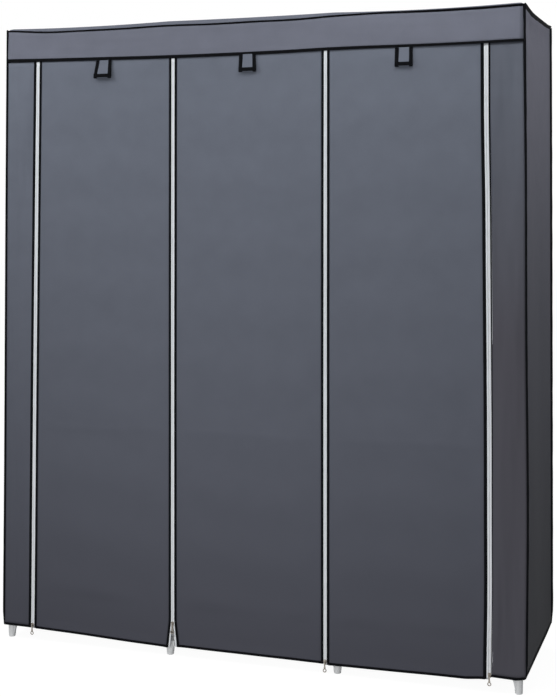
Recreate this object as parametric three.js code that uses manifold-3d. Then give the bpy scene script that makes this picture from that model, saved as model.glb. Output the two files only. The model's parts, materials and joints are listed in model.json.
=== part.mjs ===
// A free-standing fabric wardrobe: a grey non-woven cloth cover with three roll-up doors
// over a frame of thin steel tube and plastic connectors.
// Millimetres, +Z up. The doors face -Y and the feet stand on Z = 0.

import * as THREE from 'three';
import { mergeVertices } from 'three/addons/utils/BufferGeometryUtils.js';
import Module from 'manifold-3d';

const wasm = await Module();
wasm.setup();

// Driving dimensions

const seat = 0.3;            // clearance left between pieces that touch
const overrun = 5;           // how far a cutter runs past what it cuts

const tube = { radius: 8, wall: 0.6, sides: 8 };

const frame = {
  outerBay: 482,             // between the centres of neighbouring columns
  middleBay: 482,
  depth: 416,                // between the centres of the front and back columns
};

const connector = {
  sleeveWall: 2.2,
  sleeveHeight: 40,
  topSleeveDrop: 26,         // how far a top connector reaches below its tubes
  capThickness: 1.8,
  capChamfer: 3,
  armWall: 1.8,
  armLength: 34,
};

const foot = {
  height: 38,
  baseRadius: 9.6,
  floor: 6,
  ribThickness: 9,
  ribStart: 7,               // height at which a rib leaves the cup
  ribBend: 25.3,             // height of the point that its curve bends towards
  ribSteps: 5,
  cornerRibReach: 17.5,
  middleRibReach: 13.8,
};

const rail = { drop: 44, hookLength: 22, hookWall: 2, hookLip: 4.5 };

const shelf = { skirtDrop: 20, skirtInset: 6 };
const shelfLevelShares = [0.34, 0.66];

const cover = {
  height: 1750,              // top of the roof cloth
  cloth: 1.2,
  sideClearance: 3.6,        // between the top connectors and the side piping
  frontClearance: 7.6,       // room behind the doors for the zip sliders
  flare: 8.1,                // how much further out each side hangs at its hem
  frontHem: 37,
  backHem: 59.5,
  hemRun: 17,                // length over which a side hem climbs from its front corner
};

const piping = {
  radius: 3.3,
  sides: 6,
  cornerDrop: 6.5,           // from the roof's top to the corner seam
  frontSag: 7,
  sideSag: 6,
  sagPower: 4,               // the higher, the more the seam turns up only near its corners
  steps: 10,
};

const binding = { width: 9, thickness: 1.2, hemWidth: 9.5 };

const valance = { depth: 102 };   // from the roof's top to its hem

// How far each cloth waves out of its plane, how many times, and the grid that it is made of.
const roofFold = { columns: 16, rows: 10, edgeRows: 3 };
const valanceFold = { columns: 16, rows: 2 };
const doorFold = { depth: 3, count: 1.5, columns: 10, rows: 12 };
const stripFold = { depth: 2.2, count: 0.5, columns: 3, rows: 14 };
const sideFold = { depth: 3, count: 1, columns: 12, rows: 10, edgeShare: 0.08, edgeRows: 2 };
const backFold = { depth: 4, count: 3, columns: 12, rows: 6 };

const doorHemHeight = 10;
const doorHemDrops = [[1.7, 14.2], [9.2, 10.7], [14, 7.5]];   // below the front hem, at each end

const zip = {
  halfWidth: 5,              // visible half width of the two white tapes together
  wideHalfWidth: 6,
  tape: 1,
  tapeHidden: 4.2,           // width sewn under the binding
  mouth: 0.75,               // from the zip's centre to a tape's edge
  splitHalf: 8,              // how far each side stands off where a zip is left open
};
const zipTopShares = [-0.8643, -0.299, 0.2932, 0.8706];
const zipBottomShares = [-0.8786, -0.2974, 0.2887, 0.8747];
const zipWide = [false, false, false, true];

const slider = {
  width: 8.6,
  tailWidth: 6.4,
  height: 13,
  plate: 1.9,
  post: 0.9,
  lugWidth: 1.1,
  lugReach: 1.5,
  pinRadius: 0.75,
  pinStandOff: 2.2,          // from the front plate to the pull's pin
};
const sliderHeights = [44, 90, 32, 45];
const openZip = 1;           // the zip whose slider was left above its bottom stop

const pull = {
  length: 28,
  thickness: 1.6,
  eyeRadius: 1.9,
  eyeWidth: 3,
  neckWidth: 4,
  ringWidth: 8,
  ringHole: 2,
  shoulder: 3.2,             // from the pin to where the neck reaches its full width
  eyeSides: 8,
};

const strap = { width: 46, length: 48, cloth: 1.2, topHalf: 1.5, bottomHalf: 2.9, lean: 3.2, foldSteps: 6 };

// Places that follow from the driving dimensions

const sleeveRadius = tube.radius + seat + connector.sleeveWall;
const armRadius = tube.radius + connector.armWall;
const boreRadius = tube.radius + seat / Math.cos(Math.PI / tube.sides);
const middleColumn = frame.middleBay / 2;
const outerColumn = middleColumn + frame.outerBay;
const columnsX = [-outerColumn, -middleColumn, middleColumn, outerColumn];
const columnY = frame.depth / 2;
const bottomLevel = foot.height + seat + connector.sleeveHeight / 2;
const topLevel = cover.height - cover.cloth - seat - armRadius;

const sideTop = outerColumn + sleeveRadius + cover.sideClearance + piping.radius;
const frontPlane = columnY + sleeveRadius + cover.frontClearance + cover.cloth / 2;
const cornerSeam = cover.height - piping.cornerDrop;
const pipeReach = piping.radius + seat;
const bindingInner = frontPlane + cover.cloth / 2 + seat;
const bindingOuter = bindingInner + binding.thickness;
const valanceInner = bindingOuter + seat;
const valanceOuter = valanceInner + binding.thickness;
const valanceHem = cover.height - valance.depth;
const doorTop = valanceHem + binding.width / 2;

// Half the distance between the side pipings at a height
function sideAt(z) {
  return sideTop + cover.flare * (cornerSeam - z) / (cornerSeam - cover.frontHem);
}

function seamHeight(sag, share) {
  return cornerSeam - sag * (1 - share ** piping.sagPower);
}

function zipHalf(k) {
  return zipWide[k] ? zip.wideHalfWidth : zip.halfWidth;
}

function zipX(k, z) {
  const top = zipTopShares[k] * sideTop;
  const bottom = zipBottomShares[k] * sideAt(cover.frontHem);
  return THREE.MathUtils.mapLinear(z, cover.frontHem, valanceHem, bottom, top);
}

// How far each side of a zip stands off its centre line below a slider that was left part way
function zipSplit(k, z) {
  if (k !== openZip) return 0;
  return zip.splitHalf * Math.max(0, (sliderHeights[k] - z) / (sliderHeights[k] - doorHem(k, 0)));
}

// The door beside a zip, on its right (side 1) or its left (side -1); -1 or 3 is a fixed strip
function hemBeside(k, side) {
  const d = side > 0 ? k : k - 1;
  if (d < 0 || d >= doorHemDrops.length) return cover.frontHem;
  return doorHem(d, side > 0 ? 0 : 1);
}

function doorHem(d, share) {
  return cover.frontHem - THREE.MathUtils.lerp(doorHemDrops[d][0], doorHemDrops[d][1], share);
}

// The X of a line that runs beside a zip at a distance from the tapes' visible edge
function besideZip(k, side, distance, z) {
  return zipX(k, z) + side * (zipSplit(k, z) + zipHalf(k) + distance);
}

// Shape helpers

function toManifold(geometry) {
  const plain = geometry.clone();
  plain.deleteAttribute('normal');
  plain.deleteAttribute('uv');
  const merged = mergeVertices(plain);
  return new wasm.Manifold(new wasm.Mesh({
    numProp: 3,
    vertProperties: new Float32Array(merged.attributes.position.array),
    triVerts: new Uint32Array(merged.index.array),
  }));
}

function toGeometry(manifold) {
  const mesh = manifold.getMesh();
  const geometry = new THREE.BufferGeometry();
  geometry.setAttribute('position', new THREE.BufferAttribute(mesh.vertProperties, 3));
  geometry.setIndex(new THREE.BufferAttribute(mesh.triVerts, 1));
  geometry.computeVertexNormals();
  return geometry;
}

function join(geometries, cutters = []) {
  let solid = toManifold(geometries[0]);
  for (const geometry of geometries.slice(1)) solid = solid.add(toManifold(geometry));
  for (const cutter of cutters) solid = solid.subtract(toManifold(cutter));
  return toGeometry(solid);
}

function box(x0, x1, y0, y1, z0, z1) {
  return new THREE.BoxGeometry(x1 - x0, y1 - y0, z1 - z0)
    .translate((x0 + x1) / 2, (y0 + y1) / 2, (z0 + z1) / 2);
}

function uprightCylinder(radius, z0, z1, x = 0, y = 0) {
  return new THREE.CylinderGeometry(radius, radius, z1 - z0, tube.sides)
    .rotateX(Math.PI / 2)
    .translate(x, y, (z0 + z1) / 2);
}

function cylinderAlongX(radius, x0, x1, y, z, sides = tube.sides) {
  return new THREE.CylinderGeometry(radius, radius, x1 - x0, sides)
    .rotateZ(-Math.PI / 2)
    .translate((x0 + x1) / 2, y, z);
}

function cylinderAlongY(radius, y0, y1, x, z) {
  return new THREE.CylinderGeometry(radius, radius, y1 - y0, tube.sides)
    .translate(x, (y0 + y1) / 2, z);
}

// A flat plate from [x, z] points, standing between two depths
function plate(points, yFront, yBack) {
  const shape = new THREE.Shape(points.map(([x, z]) => new THREE.Vector2(x, z)));
  return new THREE.ExtrudeGeometry(shape, { depth: yBack - yFront, bevelEnabled: false })
    .rotateX(Math.PI / 2)
    .translate(0, yBack, 0);
}

// A closed sheet: a grid of points on its middle surface, thickened along one axis
function sheet(columns, rows, middle, axis, thickness) {
  const positions = [];
  const across = columns + 1;
  const layer = across * (rows + 1);
  for (const side of [-1, 1]) {
    for (let row = 0; row <= rows; row++) {
      for (let column = 0; column <= columns; column++) {
        const point = middle(column / columns, row / rows);
        point.addScaledVector(axis, side * thickness / 2);
        positions.push(point.x, point.y, point.z);
      }
    }
  }
  const at = (column, row, side) => side * layer + row * across + column;
  const index = [];
  const quad = (a, b, c, d) => index.push(a, b, c, a, c, d);
  for (let row = 0; row < rows; row++) {
    for (let column = 0; column < columns; column++) {
      quad(at(column, row, 1), at(column + 1, row, 1), at(column + 1, row + 1, 1), at(column, row + 1, 1));
      quad(at(column, row, 0), at(column, row + 1, 0), at(column + 1, row + 1, 0), at(column + 1, row, 0));
    }
  }
  for (let column = 0; column < columns; column++) {
    quad(at(column, 0, 0), at(column + 1, 0, 0), at(column + 1, 0, 1), at(column, 0, 1));
    quad(at(column + 1, rows, 0), at(column, rows, 0), at(column, rows, 1), at(column + 1, rows, 1));
  }
  for (let row = 0; row < rows; row++) {
    quad(at(0, row + 1, 0), at(0, row, 0), at(0, row, 1), at(0, row + 1, 1));
    quad(at(columns, row, 0), at(columns, row + 1, 0), at(columns, row + 1, 1), at(columns, row, 1));
  }
  const geometry = new THREE.BufferGeometry();
  geometry.setAttribute('position', new THREE.BufferAttribute(new Float32Array(positions), 3));
  geometry.setIndex(index);
  turnOutwards(geometry);
  geometry.computeVertexNormals();
  return geometry;
}

function turnOutwards(geometry) {
  const { position } = geometry.attributes;
  const corners = [0, 1, 2].map(() => new THREE.Vector3());
  const index = geometry.index.array;
  let volume = 0;
  for (let i = 0; i < index.length; i += 3) {
    corners.forEach((corner, n) => corner.fromBufferAttribute(position, index[i + n]));
    volume += corners[0].dot(corners[1].clone().cross(corners[2]));
  }
  if (volume > 0) return;
  for (let i = 0; i < index.length; i += 3) [index[i], index[i + 1]] = [index[i + 1], index[i]];
}

// A round cord through points
function cord(points) {
  const section = new THREE.Shape();
  for (let i = 0; i < piping.sides; i++) {
    const angle = 2 * Math.PI * (i + 1 / 2) / piping.sides;
    const [a, b] = [piping.radius * Math.cos(angle), piping.radius * Math.sin(angle)];
    if (i === 0) section.moveTo(a, b);
    else section.lineTo(a, b);
  }
  const path = points.length > 2
    ? new THREE.CatmullRomCurve3(points)
    : new THREE.LineCurve3(points[0], points[1]);
  const steps = points.length > 2 ? piping.steps : 1;
  return new THREE.ExtrudeGeometry(section, { steps, bevelEnabled: false, extrudePath: path });
}

// Materials

const fabric = () => new THREE.MeshStandardMaterial({ color: 0x6c6d77, roughness: 0.95, metalness: 0 });
const blackCloth = () => new THREE.MeshStandardMaterial({ color: 0x19191c, roughness: 0.85, metalness: 0 });
const whiteTape = () => new THREE.MeshStandardMaterial({ color: 0xd5d9dc, roughness: 0.8, metalness: 0 });
const zipMetal = () => new THREE.MeshStandardMaterial({ color: 0xb9b3a6, roughness: 0.35, metalness: 0.9 });
const greyPlastic = () => new THREE.MeshStandardMaterial({ color: 0xc9c9c9, roughness: 0.5, metalness: 0 });
const steel = () => new THREE.MeshStandardMaterial({ color: 0xa3a5a8, roughness: 0.4, metalness: 0.6 });

// Steel frame

function upright() {
  const length = topLevel + tube.radius - connector.capThickness - seat - foot.floor - seat;
  const inner = tube.radius - tube.wall;
  const profile = [[inner, 0], [tube.radius, 0], [tube.radius, length], [inner, length], [inner, 0]];
  return new THREE.LatheGeometry(profile.map(([r, h]) => new THREE.Vector2(r, h)), tube.sides)
    .rotateX(Math.PI / 2);
}

// A plastic cup under a column, with a curved rib towards each neighbouring bay
function footCup(reachLeft, reachRight) {
  const profile = [[0, 0], [foot.baseRadius, 0], [sleeveRadius, foot.height], [0, foot.height]];
  const body = new THREE.LatheGeometry(profile.map(([r, h]) => new THREE.Vector2(r, h)), tube.sides)
    .rotateX(Math.PI / 2);
  const ribs = [[reachLeft, -1], [reachRight, 1]].filter(([reach]) => reach > 0).map(([reach, side]) => {
    const outline = new THREE.Shape();
    outline.moveTo(0, foot.ribStart);
    outline.lineTo(side * foot.baseRadius, foot.ribStart);
    outline.quadraticCurveTo(side * sleeveRadius, foot.ribBend, side * reach, foot.height);
    outline.lineTo(0, foot.height);
    const points = outline.getPoints(foot.ribSteps).map((p) => [p.x, p.y]);
    if (side < 0) points.reverse();
    return plate(points, -foot.ribThickness / 2, foot.ribThickness / 2);
  });
  return join([body, ...ribs], [uprightCylinder(boreRadius, foot.floor, foot.height + overrun)]);
}

// Front, back and cross tubes on connectors with a sleeve round each column
function levelFrame(columns, level, sleeveBottom, sleeveTop, boreTop) {
  const added = [];
  const cut = [];
  const inner = tube.radius - tube.wall;
  const last = columns.length - 1;
  for (const [i, x] of columns.entries()) {
    added.push(cylinderAlongY(tube.radius, -columnY, columnY, x, level));
    cut.push(cylinderAlongY(inner, -columnY, columnY, x, level));
    for (const y of [-columnY, columnY]) {
      added.push(sleeve(sleeveBottom, sleeveTop).translate(x, y, 0));
      cut.push(uprightCylinder(boreRadius, sleeveBottom - overrun, boreTop, x, y));
      const inward = -Math.sign(y) * connector.armLength;
      added.push(cylinderAlongY(armRadius, Math.min(y, y + inward), Math.max(y, y + inward), x, level));
      const from = i === 0 ? x : x - connector.armLength;
      const to = i === last ? x : x + connector.armLength;
      added.push(cylinderAlongX(armRadius, from, to, y, level));
    }
  }
  for (const y of [-columnY, columnY]) {
    added.push(cylinderAlongX(tube.radius, columns[0], columns[last], y, level));
    cut.push(cylinderAlongX(inner, columns[0], columns[last], y, level));
  }
  return join(added, cut);
}

function sleeve(bottom, top) {
  const profile = [
    [0, bottom],
    [sleeveRadius, bottom],
    [sleeveRadius, top - connector.capChamfer],
    [sleeveRadius - connector.capChamfer, top],
    [0, top],
  ];
  return new THREE.LatheGeometry(profile.map(([r, h]) => new THREE.Vector2(r, h)), tube.sides)
    .rotateX(Math.PI / 2);
}

function throughLevel(columns, level) {
  const half = connector.sleeveHeight / 2;
  return levelFrame(columns, level, level - half, level + half, level + half + overrun);
}

function topFrame() {
  const top = topLevel + tube.radius;
  const bottom = topLevel - connector.topSleeveDrop;
  return levelFrame(columnsX, topLevel, bottom, top, top - connector.capThickness);
}

// One rail across all bays, carried by a clip on each cross tube
function hangingRail() {
  const level = topLevel - rail.drop;
  const clipHalf = tube.radius + seat + rail.hookWall;
  const hook = rail.hookLength / 2;
  const clips = columnsX.map((x) => box(
    x - clipHalf, x + clipHalf, -hook, hook, level - armRadius, topLevel + rail.hookLip,
  ));
  const seatReach = hook + overrun;
  const seats = columnsX.map((x) => cylinderAlongY(boreRadius, -seatReach, seatReach, x, topLevel));
  const reach = outerColumn + clipHalf + overrun;
  const bore = cylinderAlongX(tube.radius - tube.wall, -reach, reach, 0, level);
  const length = cylinderAlongX(tube.radius, -outerColumn, outerColumn, 0, level);
  return join([length, ...clips], [bore, ...seats]);
}

// Shelf cloth over a level's tubes, with a turned-down skirt at the front and the back of each bay
function clothShelf(columns, level) {
  const bottom = level + armRadius + seat;
  const skirtOuter = columnY + armRadius + seat + cover.cloth;
  const notch = sleeveRadius + seat;
  const left = columns[0];
  const right = columns[columns.length - 1];
  const pieces = [box(left, right, -columnY, columnY, bottom, bottom + cover.cloth)];
  for (const side of [-1, 1]) {
    for (let i = 0; i + 1 < columns.length; i++) {
      const from = columns[i] + notch + shelf.skirtInset;
      const to = columns[i + 1] - notch - shelf.skirtInset;
      const inner = side * (skirtOuter - cover.cloth);
      const outer = side * skirtOuter;
      const edge = side * (columnY - overrun);
      pieces.push(box(from, to, Math.min(inner, outer), Math.max(inner, outer),
        level - shelf.skirtDrop, bottom + cover.cloth));
      pieces.push(box(from, to, Math.min(edge, outer), Math.max(edge, outer),
        bottom, bottom + cover.cloth));
    }
  }
  const cutters = columns.flatMap((x) => [-columnY, columnY].map((y) => box(
    x - notch, x + notch, y - notch, y + notch, bottom - overrun, bottom + cover.cloth + overrun,
  )));
  return join(pieces, cutters);
}

// Cloth cover

// Height of the roof cloth's middle surface
function roofHeight(x, y) {
  const edgeX = Math.max(0, (Math.abs(x) - outerColumn) / (sideTop - outerColumn));
  const edgeY = Math.max(0, (Math.abs(y) - columnY) / (frontPlane - columnY));
  const seamShare = Math.abs(edgeX > 0 ? y / frontPlane : x / sideTop);
  const sag = edgeX > 0 ? piping.sideSag : piping.frontSag;
  const rim = seamHeight(sag, Math.min(1, seamShare)) + pipeReach + cover.cloth / 2;
  const crest = cover.height - cover.cloth / 2;
  const edge = Math.max(edgeX, edgeY);
  return crest - Math.max(0, crest - rim) * edge ** 2;
}

// Turns an even share into one that has rows close together at both ends
function crowdEnds(share, edgeShare, edgeRows, rows) {
  const row = Math.round(share * rows);
  if (row <= edgeRows) return edgeShare * row / edgeRows;
  if (row >= rows - edgeRows) return 1 - edgeShare * (rows - row) / edgeRows;
  return edgeShare + (1 - 2 * edgeShare) * (row - edgeRows) / (rows - 2 * edgeRows);
}

function roof() {
  const edgeShareX = (sideTop - outerColumn) / (2 * sideTop);
  const edgeShareY = (frontPlane - columnY) / (2 * frontPlane);
  const { columns, rows, edgeRows } = roofFold;
  const middle = (u, v) => {
    const x = THREE.MathUtils.lerp(-sideTop, sideTop, crowdEnds(u, edgeShareX, edgeRows, columns));
    const y = THREE.MathUtils.lerp(-frontPlane, frontPlane, crowdEnds(v, edgeShareY, edgeRows, rows));
    return new THREE.Vector3(x, y, roofHeight(x, y));
  };
  return sheet(columns, rows, middle, new THREE.Vector3(0, 0, 1), cover.cloth);
}

// How far a hanging cloth waves out of its flat plane, nothing at its sewn edges
function waves(u, v, fold) {
  const calm = Math.sin(Math.PI * v) ** 2 * Math.sin(Math.PI * u);
  return fold.depth * Math.sin(2 * Math.PI * fold.count * u + Math.PI * v) * calm;
}

// A front cloth between two edges that are functions of height
function frontCloth(fold, leftAt, rightAt, bottomAt, topAt, wave) {
  const middle = (u, v) => {
    const z = THREE.MathUtils.lerp(bottomAt(u), topAt(u), v);
    const x = THREE.MathUtils.lerp(leftAt(z), rightAt(z), u);
    return new THREE.Vector3(x, -frontPlane + wave(u, v), z);
  };
  return sheet(fold.columns, fold.rows, middle, new THREE.Vector3(0, 1, 0), cover.cloth);
}

const stripEdge = (side) => (z) => side * (sideAt(z) - pipeReach);
const clothBesideZip = (k, side) => (z) => besideZip(k, side, zip.tapeHidden + seat, z);
const stripBottom = () => cover.frontHem;
const zippedTop = () => doorTop - seat;

function leftStrip() {
  return frontCloth(stripFold, stripEdge(-1), clothBesideZip(0, -1), stripBottom, zippedTop,
    (u, v) => waves(u, v, stripFold));
}

function rightStrip() {
  return frontCloth(stripFold, clothBesideZip(3, 1), stripEdge(1), stripBottom, zippedTop,
    (u, v) => waves(u, v, stripFold));
}

function doorPanel(d) {
  return frontCloth(doorFold, clothBesideZip(d, 1), clothBesideZip(d + 1, -1), (u) => doorHem(d, u),
    zippedTop, (u, v) => waves(u, v, doorFold));
}

function valancePanel() {
  const topAt = (u) => seamHeight(piping.frontSag, Math.abs(2 * u - 1)) - pipeReach;
  return frontCloth(valanceFold, stripEdge(-1), stripEdge(1), () => doorTop, topAt, () => 0);
}

// Height of a side hem, which climbs quickly from its front corner and then runs level
function sideHem(y) {
  const climb = Math.exp(-(y + frontPlane) / cover.hemRun);
  return THREE.MathUtils.lerp(cover.backHem, cover.frontHem, climb);
}

// A side's columns of points, close together near its corners
function sideShare(u) {
  return crowdEnds(u, sideFold.edgeShare, sideFold.edgeRows, sideFold.columns);
}

function sidePanel(side) {
  const reach = frontPlane - pipeReach;
  const middle = (u, v) => {
    const y = THREE.MathUtils.lerp(-reach, reach, sideShare(u));
    const bottom = sideHem(y);
    const top = seamHeight(piping.sideSag, Math.abs(y) / frontPlane) - pipeReach;
    const z = THREE.MathUtils.lerp(bottom, top, v);
    const inward = Math.abs(waves(u, v, sideFold));
    return new THREE.Vector3(side * (sideAt(z) - inward), y, z);
  };
  return sheet(sideFold.columns, sideFold.rows, middle, new THREE.Vector3(1, 0, 0), cover.cloth);
}

function backPanel() {
  const middle = (u, v) => {
    const top = seamHeight(piping.frontSag, Math.abs(2 * u - 1)) - pipeReach;
    const z = THREE.MathUtils.lerp(cover.backHem, top, v);
    const reach = sideAt(z) - pipeReach;
    const y = frontPlane + waves(u, v, backFold);
    return new THREE.Vector3(THREE.MathUtils.lerp(-reach, reach, u), y, z);
  };
  return sheet(backFold.columns, backFold.rows, middle, new THREE.Vector3(0, 1, 0), cover.cloth);
}

// A strip of binding beside a zip, between two heights
function zipBinding(k, side, bottom, top) {
  const heights = [bottom, ...(k === openZip ? [sliderHeights[k]] : []), top];
  const outer = heights.map((z) => [besideZip(k, side, 0, z), z]);
  const inner = heights.map((z) => [besideZip(k, side, binding.width, z), z]);
  const points = [...outer, ...inner.reverse()];
  return plate(side < 0 ? points.reverse() : points, -bindingOuter, -bindingInner);
}

// A hem binding on the outside of a side panel
function sideHemBinding(side) {
  const middle = (u, v) => {
    const y = THREE.MathUtils.lerp(-frontPlane, frontPlane, sideShare(u));
    const z = sideHem(y) + v * binding.hemWidth;
    const outward = cover.cloth / 2 + seat + binding.thickness / 2;
    return new THREE.Vector3(side * (sideAt(z) + outward), y, z);
  };
  return sheet(sideFold.columns, 1, middle, new THREE.Vector3(1, 0, 0), binding.thickness);
}

// All the black edging that stays put: corner cords, top ring, hems and the valance's edge
function coverPiping() {
  const pieces = [];
  const cornerX = sideTop;
  for (const side of [-1, 1]) {
    const alongX = [];
    const alongY = [];
    for (let i = 0; i <= piping.steps; i++) {
      const share = 2 * i / piping.steps - 1;
      alongX.push(new THREE.Vector3(share * cornerX, side * frontPlane,
        seamHeight(piping.frontSag, Math.abs(share))));
      alongY.push(new THREE.Vector3(side * cornerX, share * frontPlane,
        seamHeight(piping.sideSag, Math.abs(share))));
    }
    pieces.push(cord(alongX), cord(alongY));
  }
  for (const x of [-1, 1]) {
    for (const y of [-1, 1]) {
      const hem = y < 0 ? cover.frontHem : cover.backHem;
      const top = new THREE.Vector3(x * cornerX, y * frontPlane, cornerSeam);
      const bottom = new THREE.Vector3(x * sideAt(hem), y * frontPlane, hem);
      pieces.push(cord([top, bottom]));
      pieces.push(new THREE.SphereGeometry(piping.radius, piping.sides, piping.sides / 2)
        .translate(top.x, top.y, top.z));
    }
  }
  const valanceEnd = sideAt(valanceHem);
  const valanceTop = valanceHem + binding.width;
  pieces.push(box(-valanceEnd, valanceEnd, -valanceOuter, -valanceInner, valanceHem, valanceTop));
  for (const [k, side] of [[0, -1], [3, 1]]) {
    pieces.push(zipBinding(k, side, cover.frontHem, doorTop));
    const a = besideZip(k, side, 0, valanceHem + seat);
    const b = besideZip(k, side, binding.width, valanceHem + seat);
    pieces.push(box(Math.min(a, b), Math.max(a, b), -valanceOuter, -bindingInner,
      valanceHem + seat, doorTop));
    const corner = side * sideAt(cover.frontHem);
    const edge = besideZip(k, side, 0, cover.frontHem);
    pieces.push(box(Math.min(corner, edge), Math.max(corner, edge), -bindingOuter, -bindingInner,
      cover.frontHem, cover.frontHem + binding.hemWidth));
    pieces.push(sideHemBinding(side));
  }
  const backEnd = sideAt(cover.backHem);
  pieces.push(box(-backEnd, backEnd, bindingInner, bindingOuter,
    cover.backHem, cover.backHem + binding.hemWidth));
  return join(pieces);
}

// Door edging that runs up one side, across behind the valance and down the other side
function doorBinding(d) {
  const left = zipBinding(d, 1, hemBeside(d, 1), doorTop);
  const right = zipBinding(d + 1, -1, hemBeside(d + 1, -1), doorTop);
  const from = besideZip(d, 1, binding.width / 2, doorTop);
  const to = besideZip(d + 1, -1, binding.width / 2, doorTop);
  const across = box(from, to, -bindingOuter, -bindingInner, valanceHem + seat, doorTop);
  return join([left, right, across]);
}

function doorHemBar(d) {
  const left = besideZip(d, 1, binding.width + seat, doorHem(d, 0));
  const right = besideZip(d + 1, -1, binding.width + seat, doorHem(d, 1));
  const points = [
    [left, doorHem(d, 0)],
    [right, doorHem(d, 1)],
    [right, doorHem(d, 1) + doorHemHeight],
    [left, doorHem(d, 0) + doorHemHeight],
  ];
  return plate(points, -bindingOuter, -bindingInner);
}

// One half of a zip: a white tape whose inner edge runs along the zip's centre
function zipTape(k, side) {
  const bottom = hemBeside(k, side);
  const heights = [bottom, ...(k === openZip ? [sliderHeights[k]] : []), doorTop - seat];
  const inner = heights.map((z) => [zipX(k, z) + side * (zipSplit(k, z) + zip.mouth), z]);
  const outer = heights.map((z) => [besideZip(k, side, zip.tapeHidden, z), z]);
  const points = [...inner, ...outer.reverse()];
  const half = zip.tape / 2;
  return plate(side < 0 ? points.reverse() : points, -frontPlane - half, -frontPlane + half);
}

// Zip slider: a front and a back plate on a post between the tapes, with a pin for the pull.
// Its origin is the middle of the zip at the slider's height.
function zipSlider() {
  const tapeFace = zip.tape / 2 + seat;
  const top = slider.height / 2;
  const outline = [
    [-slider.tailWidth / 2, -top], [slider.tailWidth / 2, -top],
    [slider.width / 2, 0], [slider.width / 2, top], [-slider.width / 2, top], [-slider.width / 2, 0],
  ];
  const frontFace = -tapeFace - slider.plate;
  const front = plate(outline, frontFace, -tapeFace);
  const back = plate(outline, tapeFace, tapeFace + slider.plate);
  const post = box(-slider.post / 2, slider.post / 2, -tapeFace - slider.plate / 2,
    tapeFace + slider.plate / 2, 0, top);
  const pinY = frontFace - slider.pinStandOff;
  const lugInner = pull.eyeWidth / 2 + seat;
  const lugs = [-1, 1].map((side) => box(
    side > 0 ? lugInner : -lugInner - slider.lugWidth,
    side > 0 ? lugInner + slider.lugWidth : -lugInner,
    pinY - slider.lugReach, frontFace + slider.plate / 2, -slider.lugReach, slider.lugReach,
  ));
  const pin = cylinderAlongX(slider.pinRadius, -lugInner - slider.lugWidth / 2,
    lugInner + slider.lugWidth / 2, pinY, 0, pull.eyeSides);
  return join([front, back, post, pin, ...lugs]);
}

// Pull tab hanging from its pin, which is its origin: an eye, a neck and a ring at the end
function pullTab() {
  const eyeHalf = pull.eyeWidth / 2;
  const eye = cylinderAlongX(pull.eyeRadius, -eyeHalf, eyeHalf, 0, 0, pull.eyeSides);
  const ringCentre = pull.ringWidth / 2 - pull.length;
  const outline = [
    [-eyeHalf, 0], [-eyeHalf, -pull.shoulder],
    [-pull.neckWidth / 2, -pull.shoulder], [-pull.neckWidth / 2, ringCentre],
    [pull.neckWidth / 2, ringCentre], [pull.neckWidth / 2, -pull.shoulder],
    [eyeHalf, -pull.shoulder], [eyeHalf, 0],
  ];
  const neck = plate(outline, -pull.thickness / 2, pull.thickness / 2);
  const disc = (radius, thickness) => new THREE.CylinderGeometry(radius, radius, thickness, tube.sides)
    .translate(0, 0, ringCentre);
  const bore = cylinderAlongX(slider.pinRadius + seat / Math.cos(Math.PI / pull.eyeSides),
    -eyeHalf - overrun, eyeHalf + overrun, 0, 0, pull.eyeSides);
  return join([eye, neck, disc(pull.ringWidth / 2, pull.thickness)],
    [bore, disc(pull.ringHole, pull.thickness + overrun)]);
}

// A tie strap: a band folded back on itself, hanging from its top edge, which is its origin
function strapLoop() {
  const profile = (topHalf, bottomHalf, top, bottom) => {
    const points = [[topHalf, top]];
    for (let i = 0; i <= strap.foldSteps; i++) {
      const angle = Math.PI * i / strap.foldSteps;
      points.push([bottomHalf * Math.cos(angle) - strap.lean, bottom - bottomHalf * Math.sin(angle)]);
    }
    points.push([-topHalf, top]);
    return new THREE.Shape(points.reverse().map(([y, z]) => new THREE.Vector2(y, z)));
  };
  const foldCentre = strap.bottomHalf - strap.length;
  const outer = profile(strap.topHalf, strap.bottomHalf, 0, foldCentre);
  outer.holes.push(profile(strap.topHalf - strap.cloth, strap.bottomHalf - strap.cloth,
    -2 * strap.cloth, foldCentre));
  return new THREE.ExtrudeGeometry(outer, { depth: strap.width, bevelEnabled: false })
    .translate(0, 0, -strap.width / 2)
    .rotateX(Math.PI / 2)
    .rotateZ(Math.PI / 2);
}

// The whole wardrobe

const wardrobe = new THREE.Group();

function add(name, geometry, material, parent = wardrobe) {
  const mesh = new THREE.Mesh(geometry, material);
  mesh.name = name;
  parent.add(mesh);
  return mesh;
}

const columnNames = ['left', 'middle_left', 'middle_right', 'right'];
for (const [i, x] of columnsX.entries()) {
  for (const [row, y] of [['front', -columnY], ['back', columnY]]) {
    const stand = new THREE.Group();
    stand.position.set(x, y, 0);
    wardrobe.add(stand);
    add(`${row}_${columnNames[i]}_upright`, upright(), steel(), stand).position.z = foot.floor + seat;
    const middle = Math.abs(x) < outerColumn;
    const reachLeft = middle ? foot.middleRibReach : x > 0 ? foot.cornerRibReach : 0;
    const reachRight = middle ? foot.middleRibReach : x < 0 ? foot.cornerRibReach : 0;
    add(`${row}_${columnNames[i]}_foot`, footCup(reachLeft, reachRight), greyPlastic(), stand);
  }
}

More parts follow.
